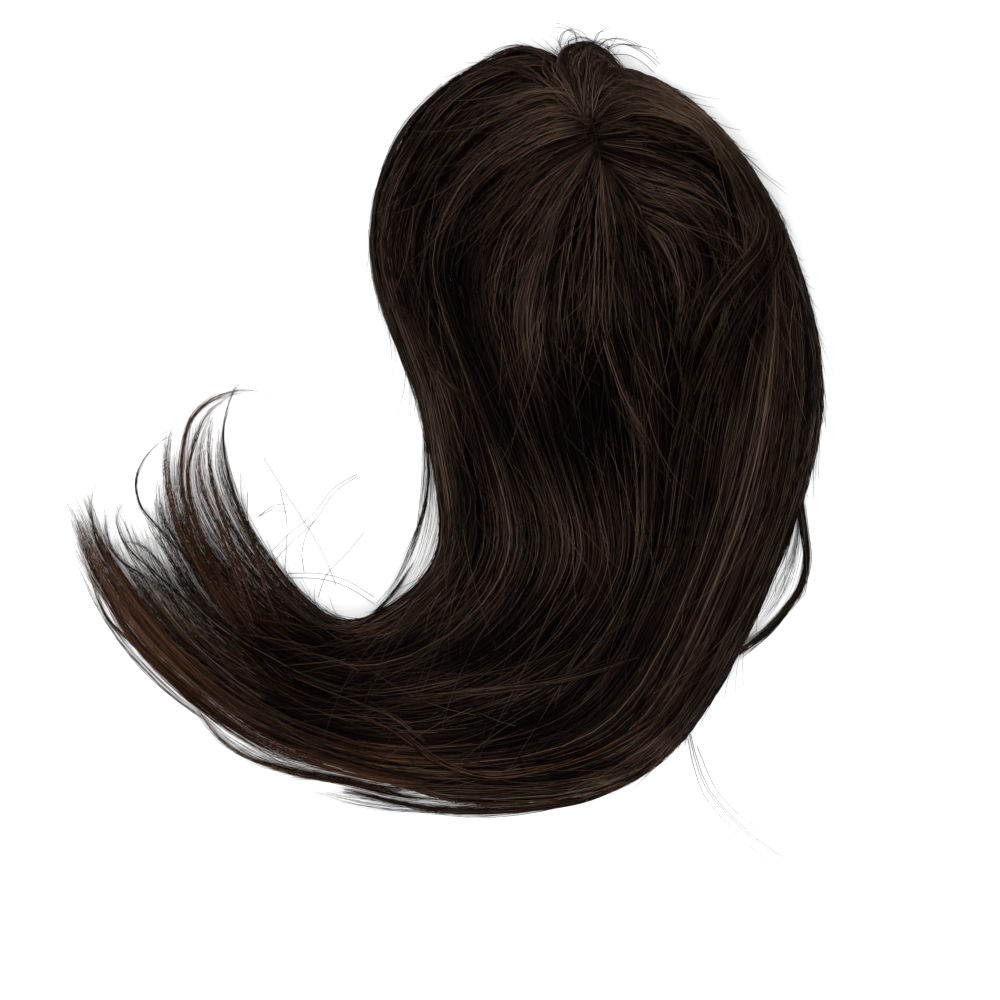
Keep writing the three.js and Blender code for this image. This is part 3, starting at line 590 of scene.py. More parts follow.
def combed(lines, f, s):
    """The place seen from above at share s along a section and share f across it."""
    place = f * (len(lines) - 1)
    before = np.clip(np.floor(place).astype(int), 0, len(lines) - 2)
    along = np.clip(s, 0, 1) * GUIDE_SAMPLES
    step = np.minimum(along.astype(int), GUIDE_SAMPLES - 1)
    beside = (place - before)[..., None]
    ahead = (along - step)[..., None]
    here = lines[before, step] * (1 - ahead) + lines[before, step + 1] * ahead
    there = lines[before + 1, step] * (1 - ahead) + lines[before + 1, step + 1] * ahead
    return here * (1 - beside) + there * beside


def aim(lines, f, s):
    """The place at shares f and s of a section, and the heading of the hair there."""
    look = 0.02
    start = combed(lines, f, s)
    ahead = combed(lines, f, s + look) - start
    return start, np.arctan2(ahead[..., 1], ahead[..., 0])


def raised(place, height):
    """Places in space, from places seen from above and their heights."""
    return np.concatenate([place, height[..., None]], -1)


def drape_height(x, y):
    """Height at which hair lies over the base and hangs from its rim down to the table."""
    leave = 0.8  # share of the base's half width at which the hair leaves the base
    share = np.hypot((x - BASE_MIDDLE.x) / HALF_WIDTH, (y - BASE_MIDDLE.y) / HALF_LENGTH)
    height = BASE_RISE * (1 - leave**2)
    hanging = height * np.exp(-(share - leave) * 2 * leave * BASE_RISE / height)
    return np.where(share < leave, BASE_RISE * (1 - share**2), hanging)


def depth_across(section, f):
    """Depth across a section as a share of that in its middle, less towards thin edges."""
    edge_width, edge_depth, least = 0.25, 0.35, 0.12
    right = edge_depth + f / edge_width if section.edges[0] == "thin" else 1
    left = edge_depth + (1 - f) / edge_width if section.edges[1] == "thin" else 1
    return np.clip(np.minimum(right, left), least, 1)


def heights(section, f, s, place):
    """Heights of a section's underside and of its top at the places of shares f, s."""
    stations = GUIDES[section.guides[0]][0]
    depth = HAIR_DEPTH * np.interp(
        s, np.linspace(0, 1, len(stations)), [DEPTH_AT[station] for station in stations]
    )
    bed = drape_height(place[..., 0], place[..., 1]) + section.bed * depth
    return bed, bed + (section.lift - section.bed) * depth * depth_across(section, f)


def even_turning(lines, steps):
    """Shares of the length between which a hair turns or runs about as far each time."""
    turn_step, run_step, finer = math.radians(12), 0.03, 8
    shares = np.linspace(0, 1, GUIDE_SAMPLES + 1)
    leg = np.diff(combed(lines, np.full(GUIDE_SAMPLES + 1, 0.5), shares), axis=0)
    heading = np.unwrap(np.arctan2(leg[:, 1], leg[:, 0]))
    turned = np.abs(np.diff(heading, prepend=heading[0]))
    effort = np.cumsum(turned / turn_step + np.linalg.norm(leg, axis=1) / run_step)
    effort = np.concatenate([[0], effort]) / effort[-1]
    return np.interp(np.linspace(0, 1, steps * finer + 1), effort, shares)


def waves(rng, bundle, s, pitches):
    """A smooth random wave of about one unit over s, the same for all hairs of a bundle.

    Pitches are how many waves there are from s of 0 to s of 1.
    """
    swing_mean, swing_spread = 0.6, 0.3
    total = 0
    for pitch in pitches:
        phase = rng.random(bundle.max() + 1)[bundle] * 2 * math.pi
        swing = rng.normal(swing_mean, swing_spread, bundle.max() + 1)[bundle]
        total = total + np.sin(2 * math.pi * pitch * s + phase[:, None]) * swing[:, None]
    return total / math.sqrt(len(pitches))


class Bundles:
    """Hairs parted by where they start into bundles of uneven width."""

    def __init__(self, rng, f, count, unevenness):
        widths = np.exp(rng.normal(0, unevenness, count))
        edges = np.concatenate([[0], np.cumsum(widths) / widths.sum()])
        edges = f.min() + edges * (f.max() - f.min())
        self.of = np.clip(np.searchsorted(edges, f, side="right") - 1, 0, count - 1)
        self.width = (edges[self.of + 1] - edges[self.of])[:, None]
        self.middle = edges[self.of][:, None] + self.width / 2
        self.place = np.clip((f[:, None] - self.middle) / (self.width / 2), -1, 1)
        self.rng = rng

    def each(self, spread):
        """A random number for each bundle, given to all of its hairs."""
        return self.rng.normal(0, spread, self.of.max() + 1)[self.of][:, None]

    def wave(self, s, pitches):
        return waves(self.rng, self.of, s, pitches)


TINY = 1e-12  # added to a length before dividing by it, which may be nothing


def sideways_of(place):
    """Unit vectors to the left of rows of places seen from above."""
    heading = np.gradient(place, axis=-2)
    heading /= np.linalg.norm(heading, axis=-1, keepdims=True) + TINY
    return np.stack([-heading[..., 1], heading[..., 0]], -1)


SIDES = 3
TONE_BAND = 0.02  # width of the band of the colour map that one hair's faces take up
MAP_MARGIN = 0.002


def tubes(places, radii, tones, warmths):
    """Closed three-sided tubes along rows of points: vertices, quads, triangles and map places."""
    count, rings = places.shape[:2]
    forward = np.gradient(places, axis=1)
    forward /= np.linalg.norm(forward, axis=2, keepdims=True) + TINY
    side = np.cross(forward, np.array([0.0, 0.0, 1.0]))
    side /= np.linalg.norm(side, axis=2, keepdims=True) + TINY
    rise = np.cross(side, forward)
    turns = math.pi / 2 + np.arange(SIDES) * 2 * math.pi / SIDES
    ring = (
        side[:, :, None] * np.cos(turns)[:, None] + rise[:, :, None] * np.sin(turns)[:, None]
    ) * radii[:, :, None, None]
    vertices = (places[:, :, None] + ring).reshape(-1, 3)
    tone = tones[:, :, None] + TONE_BAND * (np.arange(SIDES) / (SIDES - 1) - 0.5)
    spots = np.stack([tone, np.broadcast_to(warmths[:, :, None], tone.shape)], -1).reshape(-1, 2)
    start = (np.arange(count)[:, None, None] * rings + np.arange(rings - 1)[:, None]) * SIDES
    here = np.arange(SIDES)
    beside = (here + 1) % SIDES
    quads = np.stack(
        [start + here, start + SIDES + here, start + SIDES + beside, start + beside], -1
    ).reshape(-1, 4)
    root = np.arange(count)[:, None] * rings * SIDES
    ends = np.vstack([root + (0, 1, 2), root + (rings - 1) * SIDES + (0, 2, 1)])
    return vertices, quads, ends, np.clip(spots, MAP_MARGIN, 1 - MAP_MARGIN)


def strand_mesh(rows):
    """One mesh of many hairs, each a closed tube, with their places on the colour map.

    Each row holds the points of like hairs, their radii, their tones and their warmths.
    """
    vertices, corners, sizes, spots = [], [], [], []
    shift = 0
    for places, *qualities in rows:
        qualities = [np.broadcast_to(quality, places.shape[:2]) for quality in qualities]
        points, quads, ends, map_places = tubes(places, *qualities)
        vertices.append(points)
        corners += [(quads + shift).ravel(), (ends + shift).ravel()]
        sizes += [np.full(len(quads), 4), np.full(len(ends), 3)]
        spots.append(map_places)
        shift += len(points)
    vertices, corners = np.vstack(vertices), np.concatenate(corners)
    sizes, spots = np.concatenate(sizes), np.vstack(spots)
    mesh = bpy.data.meshes.new("strands")
    mesh.vertices.add(len(vertices))
    mesh.vertices.foreach_set("co", vertices.astype(np.float32).ravel())
    mesh.loops.add(len(corners))
    mesh.loops.foreach_set("vertex_index", corners.astype(np.int32))
    mesh.polygons.add(len(sizes))
    starts = np.concatenate([[0], np.cumsum(sizes)[:-1]])
    mesh.polygons.foreach_set("loop_start", starts.astype(np.int32))
    mesh.update(calc_edges=True)
    layer = mesh.uv_layers.new(name=MAP_NAME)
    layer.data.foreach_set("uv", spots[corners].astype(np.float32).ravel())
    return mesh


def piece_of(name, meshes, material, *replaced):
    """Joins meshes to one smooth piece that rides on the body and stands for CAD nodes."""
    bm = bmesh.new()
    for mesh in meshes:
        bm.from_mesh(mesh)
        bpy.data.meshes.remove(mesh)
    for face in bm.faces:
        face.smooth = True
    whole = bpy.data.meshes.new(name)
    bm.to_mesh(whole)
    bm.free()
    whole.materials.append(material)
    piece = bpy.data.objects.new(name, whole)
    bpy.context.scene.collection.objects.link(piece)
    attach(piece, "root")
    if replaced:
        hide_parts(*replaced)
    return piece


def patched(place, quality):
    """What the patches add at places to the quality of that name: tone, mostly painted highlight
    and painted shade, or warm, the hair's redness.
    """
    total = 0
    for patch in PAINTED_LIGHT_AND_RED_PATCHES:
        away = 0
        for axis in (0, 1):
            share = (place[..., axis] - BASE_MIDDLE[axis]) / LAYOUT_SPAN * 1000
            away = away + ((share - patch.at[axis]) / patch.reach[axis]) ** 2
        total = total + getattr(patch, quality) * np.exp(-away)
    return total


MEAN_TONE = 0.31  # tone of most of the hair, from 0, dark, to 1, light
TONE_SPREAD = 0.3
MEAN_WARMTH = 0.06
TUCK = 0.04  # how far a section goes on into the one beside it, as a share of its width
ROOT_SPREAD = 0.03  # share of the length over which roots lie
SHORT_HAIRS, SHORT_ENDS = 0.12, (0.6, 0.9)  # share of hairs cut short, and where they end
WISPS_IN_CLUMP = 4
CROSSING_HAIRS = 0.1  # share of hairs that wander across the others
DRIFT, CROSSING_DRIFT = 0.014, 0.05  # how far hairs drift, as shares of the section's width
STOP = 0.01  # how far past an edge the first hair is stopped, as a share of the width
LIGHT_HAIRS, LIGHT_STEP = 0.06, 0.25  # share of lighter hairs, and how much lighter they are
LEAST_DEPTH = 0.0006


def hair_shares(section, lines, rng):
    """Places along each hair of a section, as shares of the hair and of the guides' length."""
    column = (section.strands, 1)
    begin = rng.random(column) ** 2 * ROOT_SPREAD
    end = 1 - section.ends * rng.random(column) ** 0.55
    short = rng.random(column) < SHORT_HAIRS
    end = np.where(short, rng.uniform(*SHORT_ENDS, column), end)
    knots = np.linspace(0, 1, section.steps + 1)
    knots = knots + np.sin(math.pi * knots) * (rng.random(column) - 0.5) / section.steps
    pace = even_turning(lines, section.steps)
    numbers = np.linspace(0, 1, len(pace))
    enter, leave = np.interp(begin, pace, numbers), np.interp(end, pace, numbers)
    return knots, np.interp(enter + (leave - enter) * knots, numbers, pace)


def tucks(section):
    """How far a section goes on past its right and its left edge, as shares of its width."""
    return [0 if loose else TUCK for loose in section.open]


def gathered(section, f, s, bundles, rng):
    """Shares across a section at which its hairs run, and which of them cross the others.

    Hairs draw together towards the tips, and wander between the edges.
    """
    column = (section.strands, 1)
    locks, clumps, wisps = bundles
    late = smooth(0.6, 1, s)
    free = smooth(0, 0.05, f) * smooth(1, 0.95, f) * smooth(0.02, 0.3, s)
    crossing = rng.random(column) < CROSSING_HAIRS
    drift = rng.normal(0, DRIFT, column) + crossing * rng.normal(0, CROSSING_DRIFT, column)
    across = (
        f + (locks.middle - f) * 0.45 * late
        + (clumps.middle - f) * (0.12 + 0.45 * late)
        + (wisps.middle - f) * (0.3 + 0.3 * late)
        + free * (0.6 / section.clumps) * clumps.wave(s, (1.3, 2.9))
        + free * drift * smooth(0.1, 0.8, s)
    )
    right, left = tucks(section)
    over = STOP + rng.random(column) * np.array([STOP + right, STOP + left])
    return np.clip(across, -right - over[:, :1], 1 + left + over[:, 1:]), crossing


def section_strands(section, lines, sizes, rng):
    """The hairs of a section, combed along its guides and gathered into bundles."""
    count, column = section.strands, (section.strands, 1)
    strand = np.arange(count)
    knots, s = hair_shares(section, lines, rng)
    right, left = tucks(section)
    f = (strand + rng.random(count)) / count * (1 + right + left) - right
    locks = Bundles(rng, f, section.locks, unevenness=0.6)
    clumps = Bundles(rng, f, section.clumps, unevenness=0.8)
    wisps = Bundles(rng, f, section.clumps * WISPS_IN_CLUMP, unevenness=0.6)
    f = f[:, None]
    across, crossing = gathered(section, f, s, (locks, clumps, wisps), rng)
    place = combed(lines, across, s)
    swing = (wisps.wave(s, (1.7, 3.7)) + 0.5 * waves(rng, strand, s, (2.3, 5.1))) * sizes.wander
    place = place + sideways_of(place) * (swing * (0.3 + s) * smooth(0, 0.1, s))[..., None]

    # Hairs fill a layer under the top, and all of the depth at open edges and at the tips
    bed, top = heights(section, across, s, place)
    thickness = np.maximum(top - bed, LEAST_DEPTH)
    deep = rng.random(column) ** 1.6
    room = smooth(0.82, 1, s)
    if section.open[0]:
        room = room + smooth(0.07, 0, across)
    if section.open[1]:
        room = room + smooth(0.93, 1, across)
    room = np.clip(room, 0, 1)
    layer = np.minimum(sizes.layer, thickness)
    layer = layer + (thickness - layer) * room

    # Clumps are domed, and locks have hollows between them
    dome = np.sqrt(1 - clumps.place**2)
    hollow = smooth(0.5, 1, np.abs(locks.place)) * (0.6 + 0.4 * locks.wave(s, (1.1, 2.3)))
    relief = 0.5 * dome + 0.35 * clumps.wave(s, (0.9, 1.9)) + clumps.each(0.25) - 0.7 * hollow - 0.4
    relief = np.where(crossing, 0.3, relief) * sizes.clump_relief * smooth(0, 0.15, s)
    height = np.maximum(top - deep * layer + relief, bed + sizes.strand_radius)

    # Hairs are thinner at both ends and redder towards the tips. Their tone carries painted shade
    # where they lie deep, in the hollows between locks and on the sides of clumps, painted glints
    # along wisps, and the painted light and shade of the patches
    radii = sizes.strand_radius * rng.uniform(0.6, 1.2, column)
    radii = radii * (1 - 0.75 * smooth(0.74, 1, knots)) * (0.6 + 0.4 * smooth(0, 0.1, knots))
    glints = smooth(0.2, 1, wisps.wave(s, (1.3, 2.7))) * 0.06
    tones = (
        MEAN_TONE + rng.normal(0, TONE_SPREAD, column) + locks.each(0.05) + clumps.each(0.07)
        + wisps.each(0.05)
        + 0.07 * locks.wave(s, (0.7, 1.7)) + 0.08 * waves(rng, strand, s, (2.1, 4.3)) + glints
        - 0.3 * hollow - 0.06 * (1 - dome) - 0.3 * deep * (1 - 0.6 * room)
        + np.where(rng.random(column) < LIGHT_HAIRS, LIGHT_STEP, 0) + patched(place, "tone")
    )
    outer = smooth(0.75, 1, f) if section.edges[1] == "thin" else 0
    warmths = (
        MEAN_WARMTH + section.warmth * s**1.8 + 0.12 * rng.random(column) + 0.15 * outer * s
        + wisps.each(0.05) + patched(place, "warm")
    )
    return raised(place, height), radii, tones, warmths


def core_mesh(section, lines, sizes):
    """The inside of a section, painted near black as the shade deep in the mass, closed, a little
    below the hairs on its top and sides.
    """
    columns, rows, inset, lowest = 24, 48, 0.035, 0.0003
    # The core's map places lie at the dark end of the tone: painted shade deep in the mass
    tone, tone_reach, warmth, warmth_reach = 0.02, 0.05, 0.05, 0.6
    bm = bmesh.new()
    layer = bm.loops.layers.uv.new(MAP_NAME)
    bmesh.ops.create_grid(bm, x_segments=columns, y_segments=rows, size=0.5)
    share = {vertex.index: (vertex.co.x + 0.5, vertex.co.y + 0.5) for vertex in bm.verts}
    f, s = np.array([share[k] for k in range(len(share))]).T
    across, along = inset + (1 - 2 * inset) * f, s * section.core
    place = combed(lines, across, along)
    bed, top = heights(section, across, along, place)
    # The height falls to nothing at the sides and at the far end
    round_off = np.sqrt(np.clip(1 - (2 * f - 1) ** 8, 0, 1)) * np.sqrt(np.clip(1 - s**10, 0, 1))
    high = np.maximum((top - bed) * (1 - RIB_RELIEF) * round_off - sizes.core_depth, lowest)
    bed = bed + lowest
    for face in bm.faces:
        for loop in face.loops:
            u, v = share[loop.vert.index]
            loop[layer].uv = (
                tone + tone_reach * u, warmth + warmth_reach * v * section.core
            )
    for vertex in bm.verts:
        k = vertex.index
        vertex.co = (*place[k], bed[k] + high[k])
    under = bmesh.ops.extrude_face_region(bm, geom=bm.faces[:], use_keep_orig=True)["geom"]
    for vertex in under:
        if isinstance(vertex, bmesh.types.BMVert):
            x, y, _ = vertex.co
            nearest = np.argmin(np.hypot(place[:, 0] - x, place[:, 1] - y))
            vertex.co.z = bed[nearest]
    bmesh.ops.recalc_face_normals(bm, faces=bm.faces[:])
    mesh = bpy.data.meshes.new("core")
    bm.to_mesh(mesh)
    bm.free()
    return mesh


class Relief:
    """How high the top of the hair lies over the table, in cells of a square grid."""

    CELL, MARGIN, PLACES_ALONG_EDGE = 0.0012, 0.06, 9

    def __init__(self, pieces):
        shares = np.linspace(0, 1, self.PLACES_ALONG_EDGE)
        tops = []
        for piece in pieces:
            mesh = piece.data
            ends = np.empty(len(mesh.edges) * 2, np.int32)
            mesh.edges.foreach_get("vertices", ends)
            spots = np.empty(len(mesh.vertices) * 3, np.float32)
            mesh.vertices.foreach_get("co", spots)
            start, end = spots.reshape(-1, 3)[ends.reshape(-1, 2)].transpose(1, 0, 2)
            tops += [start + (end - start) * share for share in shares]
        tops = np.vstack(tops)
        self.low = tops[:, :2].min(0) - self.MARGIN
        cells = ((tops[:, :2].max(0) + self.MARGIN - self.low) / self.CELL).astype(int) + 1
        self.grid = np.zeros(cells)
        column, row = ((tops[:, :2] - self.low) / self.CELL).astype(int).T
        np.maximum.at(self.grid, (column, row), tops[:, 2])

    def at(self, place):
        """Height of the top of the hair at places, evened out a little along each row."""
        column, row = ((place - self.low) / self.CELL).astype(int).clip(
            0, np.array(self.grid.shape) - 1
        ).transpose(2, 0, 1)
        height = self.grid[column, row]
        before = np.concatenate([height[:, :1], height[:, :-1]], 1)
        after = np.concatenate([height[:, 1:], height[:, -1:]], 1)
        return np.maximum(height, (before + height + after) / 3)


SLOPE = 0.6  # how steeply a hair leaves the edge of what it lies on, as rise over run
WISP_TONE = MEAN_TONE - 0.04  # of a wisp that is no lighter than the mass
WISP_ENDS = 0.4  # last share of a wisp's length, over which its hairs end
STRAY_TONE, STRAY_WARMTH = 0.4, 0.3


def wisp_strands(wisp, relief, sizes, rng):
    """The hairs of a wisp, laid on the mass or the table along its path."""
    samples, steps, column = 200, 2 * len(wisp.path), (wisp.count, 1)
    line = curve_through(in_metres(wisp.path), samples) + MIDDLE
    knots = np.linspace(0, 1, steps + 1)
    begin = wisp.begin * rng.random(column) ** 1.5
    end = 1 - WISP_ENDS * rng.random(column) ** 1.4
    s = begin + (end - begin) * knots
    # How far each hair keeps from the path, as a share of half the width, and how it winds
    off, spin = np.clip(rng.normal(0, 0.45, column), -1.1, 1.1), 2
    if wisp.even:
        off, spin = rng.uniform(-1, 1, column), 0.4
    wide = in_metres(np.interp(s, (0, 0.5, 1), wisp.wide)) / 2
    strand = np.arange(wisp.count)
    swing = waves(rng, strand, s, (1.1, 2.3)) * sizes.wander * (0.5 + s**2) * smooth(0, 0.3, s)
    twist = off * np.cos(spin * (s + 0.75 * rng.random(column)))
    place = np.stack([np.interp(s, np.linspace(0, 1, samples + 1), row) for row in line.T], -1)
    place = place + sideways_of(place) * (twist * wide + swing)[..., None]

    # Hairs lie on what is under them, bridge what falls away steeply, and pile up
    pile = 0.4 * wide * rng.random(column) + sizes.strand_radius
    height = np.minimum(relief.at(place), in_metres(wisp.high))
    fall = SLOPE * np.linalg.norm(np.diff(place, axis=1), axis=2)
    for k in range(steps):
        height[:, k + 1] = np.maximum(height[:, k + 1], height[:, k] - fall[:, k])
    for k in reversed(range(steps)):
        height[:, k] = np.maximum(height[:, k], height[:, k + 1] - fall[:, k])
    height = height + pile

    thin = sizes.strand_radius * wisp.thick * rng.uniform(0.7, 1.2, column)
    radii = thin * (1 - 0.72 * smooth(0.5, 1, knots)) * (0.4 + 0.6 * smooth(0, 0.15, knots))
    # The tone is the wisp's own lightness and painted highlight, with half the painted light and
    # shade of the patches under it
    tones = (
        WISP_TONE + wisp.tone + 0.3 * wisp.warmth * knots**2
        + rng.normal(0, TONE_SPREAD, column) + 0.5 * patched(place, "tone")
    )
    warmths = wisp.warmth + rng.normal(0, 0.08, column)
    return raised(place, height), radii, tones, warmths


def placed_strays(stray, sizes, rng):
    """Single hairs that stray from the mass in given places and lie on the table."""
    steps, apart, fanned, root_height, tip_drop = 10, 0.0005, 0.0014, 0.0012, 0.0009
    t = np.linspace(0, 1, steps + 1)
    spread = (stray.count, 1, 2)
    place = curve_through(in_metres(stray.path), steps) + MIDDLE + rng.normal(0, apart, spread)
    place = place + rng.normal(0, fanned, spread) * t[:, None]
    height = np.broadcast_to(root_height - tip_drop * t + sizes.stray_radius, place.shape[:2])
    radii = sizes.stray_radius * (1 - 0.4 * t)
    return raised(place, height), radii, STRAY_TONE, STRAY_WARMTH


def walked(start, course, stride):
    """Places reached from a start by steps of one length along their courses, and the steps."""
    leg = np.stack([np.cos(course), np.sin(course)], -1) * stride[..., None]
    return start + np.cumsum(leg, axis=1), leg


def fuzz(fringe, sizes, rng):
    """Short hairs that stand off an edge of the mass at random, from a few steps inside it."""
    steps, inside, shortest, column = 10, 3, 0.008, (fringe.count, 1)
    t = np.linspace(0, 1, steps + 1)
    along = rng.uniform(*fringe.start, column)
    length = (fringe.length * rng.random(column) ** 2 + shortest) * LAYOUT_SPAN
    start, heading = aim(guide_lines(fringe.guides), np.full(column, float(fringe.side)), along)
    outwards = 1 if fringe.side else -1
    lean = np.abs(rng.normal(0, fringe.lean, column)) * outwards
    bend = rng.normal(0, 0.4, column) - 1.2 * lean  # a hair that leans out bends back
    place, leg = walked(start, heading + lean + bend * t, length / steps)
    place = place - leg[:, :1] * inside
    ground = drape_height(place[..., 0], place[..., 1])
    height = ground + rng.uniform(0.0003, 0.005, column) * (1 - 0.5 * t)
    radii = sizes.stray_radius * rng.uniform(0.6, 1.1, column) * (1 - 0.6 * t)
    tones = STRAY_TONE + rng.normal(0, 0.1, column)
    return raised(place, height), radii, tones, fringe.warmth


def askew_hairs(section, count, relief, sizes, rng):
    """Single hairs that lie on a section at an angle to those under them."""
    steps, slope, bend, column = 9, 0.22, 0.7, (count, 1)
    shares_across, shares_along, lengths = (0.04, 0.96), (0.04, 0.8), (0.03, 0.16)
    t = np.linspace(0, 1, steps + 1)
    f, s = rng.uniform(*shares_across, column), rng.uniform(*shares_along, column)
    start, heading = aim(guide_lines(section.guides), f, s)
    course = heading + rng.normal(0, slope, column)
    course = course + rng.uniform(-bend, bend, column) * t
    stride = rng.uniform(*lengths, column) * LAYOUT_SPAN / steps
    place, _ = walked(start, course, stride)
    height = relief.at(place) + sizes.strand_radius
    radii = sizes.stray_radius * rng.uniform(0.6, 1, column) * (1 - 0.6 * t)
    # Half the painted light and shade of the patches falls on these hairs too
    tones = MEAN_TONE + rng.uniform(0.2, 0.6, column) + 0.5 * patched(place, "tone")
    warmths = rng.uniform(0.1, 0.5, column)
    inside = height.min(1) > sizes.layer
    return raised(place, height)[inside], radii[inside], tones[inside], warmths[inside]


class Value:
    """A number that varies over a surface. Expressions on it add Math nodes."""

    def __init__(self, tree, socket):
        self.tree, self.socket = tree, socket

    def with_math(self, operation, first, second):
        node = self.tree.nodes.new("ShaderNodeMath")
        node.operation = operation
        for place, value in zip(node.inputs, (first, second)):
            if isinstance(value, Value):
                self.tree.links.new(value.socket, place)
            else:
                place.default_value = value
        return Value(self.tree, node.outputs[0])

    def __add__(self, other):
        return self.with_math("ADD", self, other)

    def __radd__(self, other):
        return self.with_math("ADD", other, self)

    def __sub__(self, other):
        return self.with_math("SUBTRACT", self, other)

    def __rsub__(self, other):
        return self.with_math("SUBTRACT", other, self)

    def __mul__(self, other):
        return self.with_math("MULTIPLY", self, other)

    def __rmul__(self, other):
        return self.with_math("MULTIPLY", other, self)


class Finish:
    """A material made of nodes, whose surface is one Principled shader."""

    def __init__(self, name):
        self.material = bpy.data.materials.new(name)
        self.material.use_nodes = True
        self.tree = self.material.node_tree
        self.shader = self.tree.nodes["Principled BSDF"]

    def node(self, kind, settings=None, inputs=None):
        """A node of a type, with its settings and then the values or links of its sockets."""
        node = self.tree.nodes.new(kind)
        for key, value in (settings or {}).items():
            setattr(node, key, value)
        for key, value in (inputs or {}).items():
            self.feed(node.inputs[key], value)
        return node

    def feed(self, place, value):
        if isinstance(value, Value):
            value = value.socket
        if isinstance(value, bpy.types.NodeSocket):
            self.tree.links.new(value, place)
        else:
            place.default_value = value

    def value(self, socket):
        return Value(self.tree, socket)

    def axes(self, vector):
        """The first two numbers of a vector."""
        split = self.node("ShaderNodeSeparateXYZ", inputs={"Vector": vector})
        return self.value(split.outputs["X"]), self.value(split.outputs["Y"])

    def noise(self, vector, scale, detail=2.0, **settings):
        texture = self.node(
            "ShaderNodeTexNoise", settings, {"Vector": vector, "Scale": scale, "Detail": detail}
        )
        return self.value(texture.outputs["Fac"])

    def ramp(self, value, stops):
        """A colour for a value, from stops of place and colour."""
        node = self.node("ShaderNodeValToRGB", inputs={"Fac": value})
        elements = node.color_ramp.elements
        while len(elements) < len(stops):
            elements.new(0.5)
        for element, (place, colour) in zip(elements, stops):
            element.position = place
            element.color = (*colour, 1)
        return node.outputs["Color"]

    def mixed(self, factor, first, second):
        """The mix of two colours."""
        mix = self.node(
            "ShaderNodeMix", {"data_type": "RGBA"}, {0: factor, 6: first, 7: second}
        )
        return mix.outputs[2]

    def stepped(self, value, low, high):
        """0 below low and 1 above high, with a smooth step between them."""
        node = self.node(
            "ShaderNodeMapRange", {"interpolation_type": "SMOOTHSTEP"},
            {"Value": value, "From Min": low, "From Max": high},
        )
        return self.value(node.outputs["Result"])

    def surface(self, **inputs):
        """Feeds sockets of the shader, named with underscores for spaces."""
        for key, value in inputs.items():
            self.feed(self.shader.inputs[key.replace("_", " ")], value)
        return self.material


def shaded(colour, share):
    """A colour made darker, or lighter above a share of 1."""
    return tuple(channel * share for channel in colour[:3])


HAIR_FINISH = "combed_hair"
RAMP_PLACES = (0.05, 0.36, 0.62, 1.0)
TIP_SHADES = (0.015, 0.13, 0.4, 1.0)


def hair_finish(colours):
    """Hair whose tone runs along the map's U and whose redness runs along V."""
    finish = Finish(HAIR_FINISH)
    spot = finish.node("ShaderNodeUVMap", {"uv_map": MAP_NAME}).outputs["UV"]
    tone, warmth = finish.axes(spot)
    # Streaks a little lighter or darker than the tone says
    streaked = finish.node("ShaderNodeCombineXYZ", inputs={"X": tone * 14.0, "Y": warmth * 5.0})
    streak = finish.noise(streaked.outputs["Vector"], 1.0, noise_dimensions="2D")
    tone = tone + (streak - 0.5) * 0.12
    # The tone runs from shade, the colour of painted shade, through the body colour to gleam, the
    # colour of painted highlights and of the lighter hairs
    cool_colours = (colours.shade, colours.body, shaded(colours.gleam, 0.32), colours.gleam)
    cool = finish.ramp(tone, tuple(zip(RAMP_PLACES, cool_colours)))
    warm_colours = [shaded(colours.tips, share) for share in TIP_SHADES]
    warm = finish.ramp(tone, tuple(zip(RAMP_PLACES, warm_colours)))
    return finish.surface(
        Base_Color=finish.mixed(finish.stepped(warmth, 0.45, 0.85), cool, warm),
        Roughness=0.46 - 0.1 * tone,
        Specular_IOR_Level=colours.gloss,
    )


def net_finish(colours):
    """The fine woven net of the base, with threads that cross every millimetre or so."""
    finish = Finish("base_net")
    thread_gap, thread_relief = 0.0011, 0.0003
    spot = finish.node("ShaderNodeTexCoord").outputs["Object"]
    turns = 2 * math.pi / thread_gap
    threads = [
        finish.value(
            finish.node("ShaderNodeMath", {"operation": "SINE"}, {0: axis * turns}).outputs[0]
        )
        for axis in finish.axes(spot)
    ]
    weave = threads[0] * threads[1] * 0.5 + 0.5
    blend = weave * 0.7 + finish.noise(spot, 90.0) * 0.3
    net = tuple(colours.net)
    bump = finish.node(
        "ShaderNodeBump", inputs={"Strength": 0.6, "Distance": thread_relief, "Height": weave}
    )
    return finish.surface(
        Base_Color=finish.ramp(
            blend, ((0.1, shaded(net, 0.45)), (0.6, net), (1.0, shaded(net, 1.7)))
        ),
        Roughness=0.95 - 0.1 * weave,
        Normal=bump.outputs["Normal"],
    )


def lacquer_finish(colours):
    """Dark lacquer on a snap clip, worn a little brighter in places."""
    finish = Finish("clip_lacquer")
    spot = finish.node("ShaderNodeTexCoord").outputs["Object"]
    worn = finish.stepped(finish.noise(spot, 240.0, 4.0), 0.56, 0.75)
    clip = tuple(colours.clip)
    return finish.surface(
        Base_Color=finish.ramp(worn, ((0.0, clip), (1.0, shaded(clip, 2.6)))),
        Roughness=0.28 + 0.2 * worn,
        Coat_Weight=0.4 - 0.3 * worn,
    )


def length_property(name, description, default):
    return bpy.props.FloatProperty(
        name=name, description=description, default=default, unit="LENGTH"
    )


def colour_property(name, description, default):
    return bpy.props.FloatVectorProperty(
        name=name, description=description, default=default, subtype="COLOR", min=0, max=1
    )


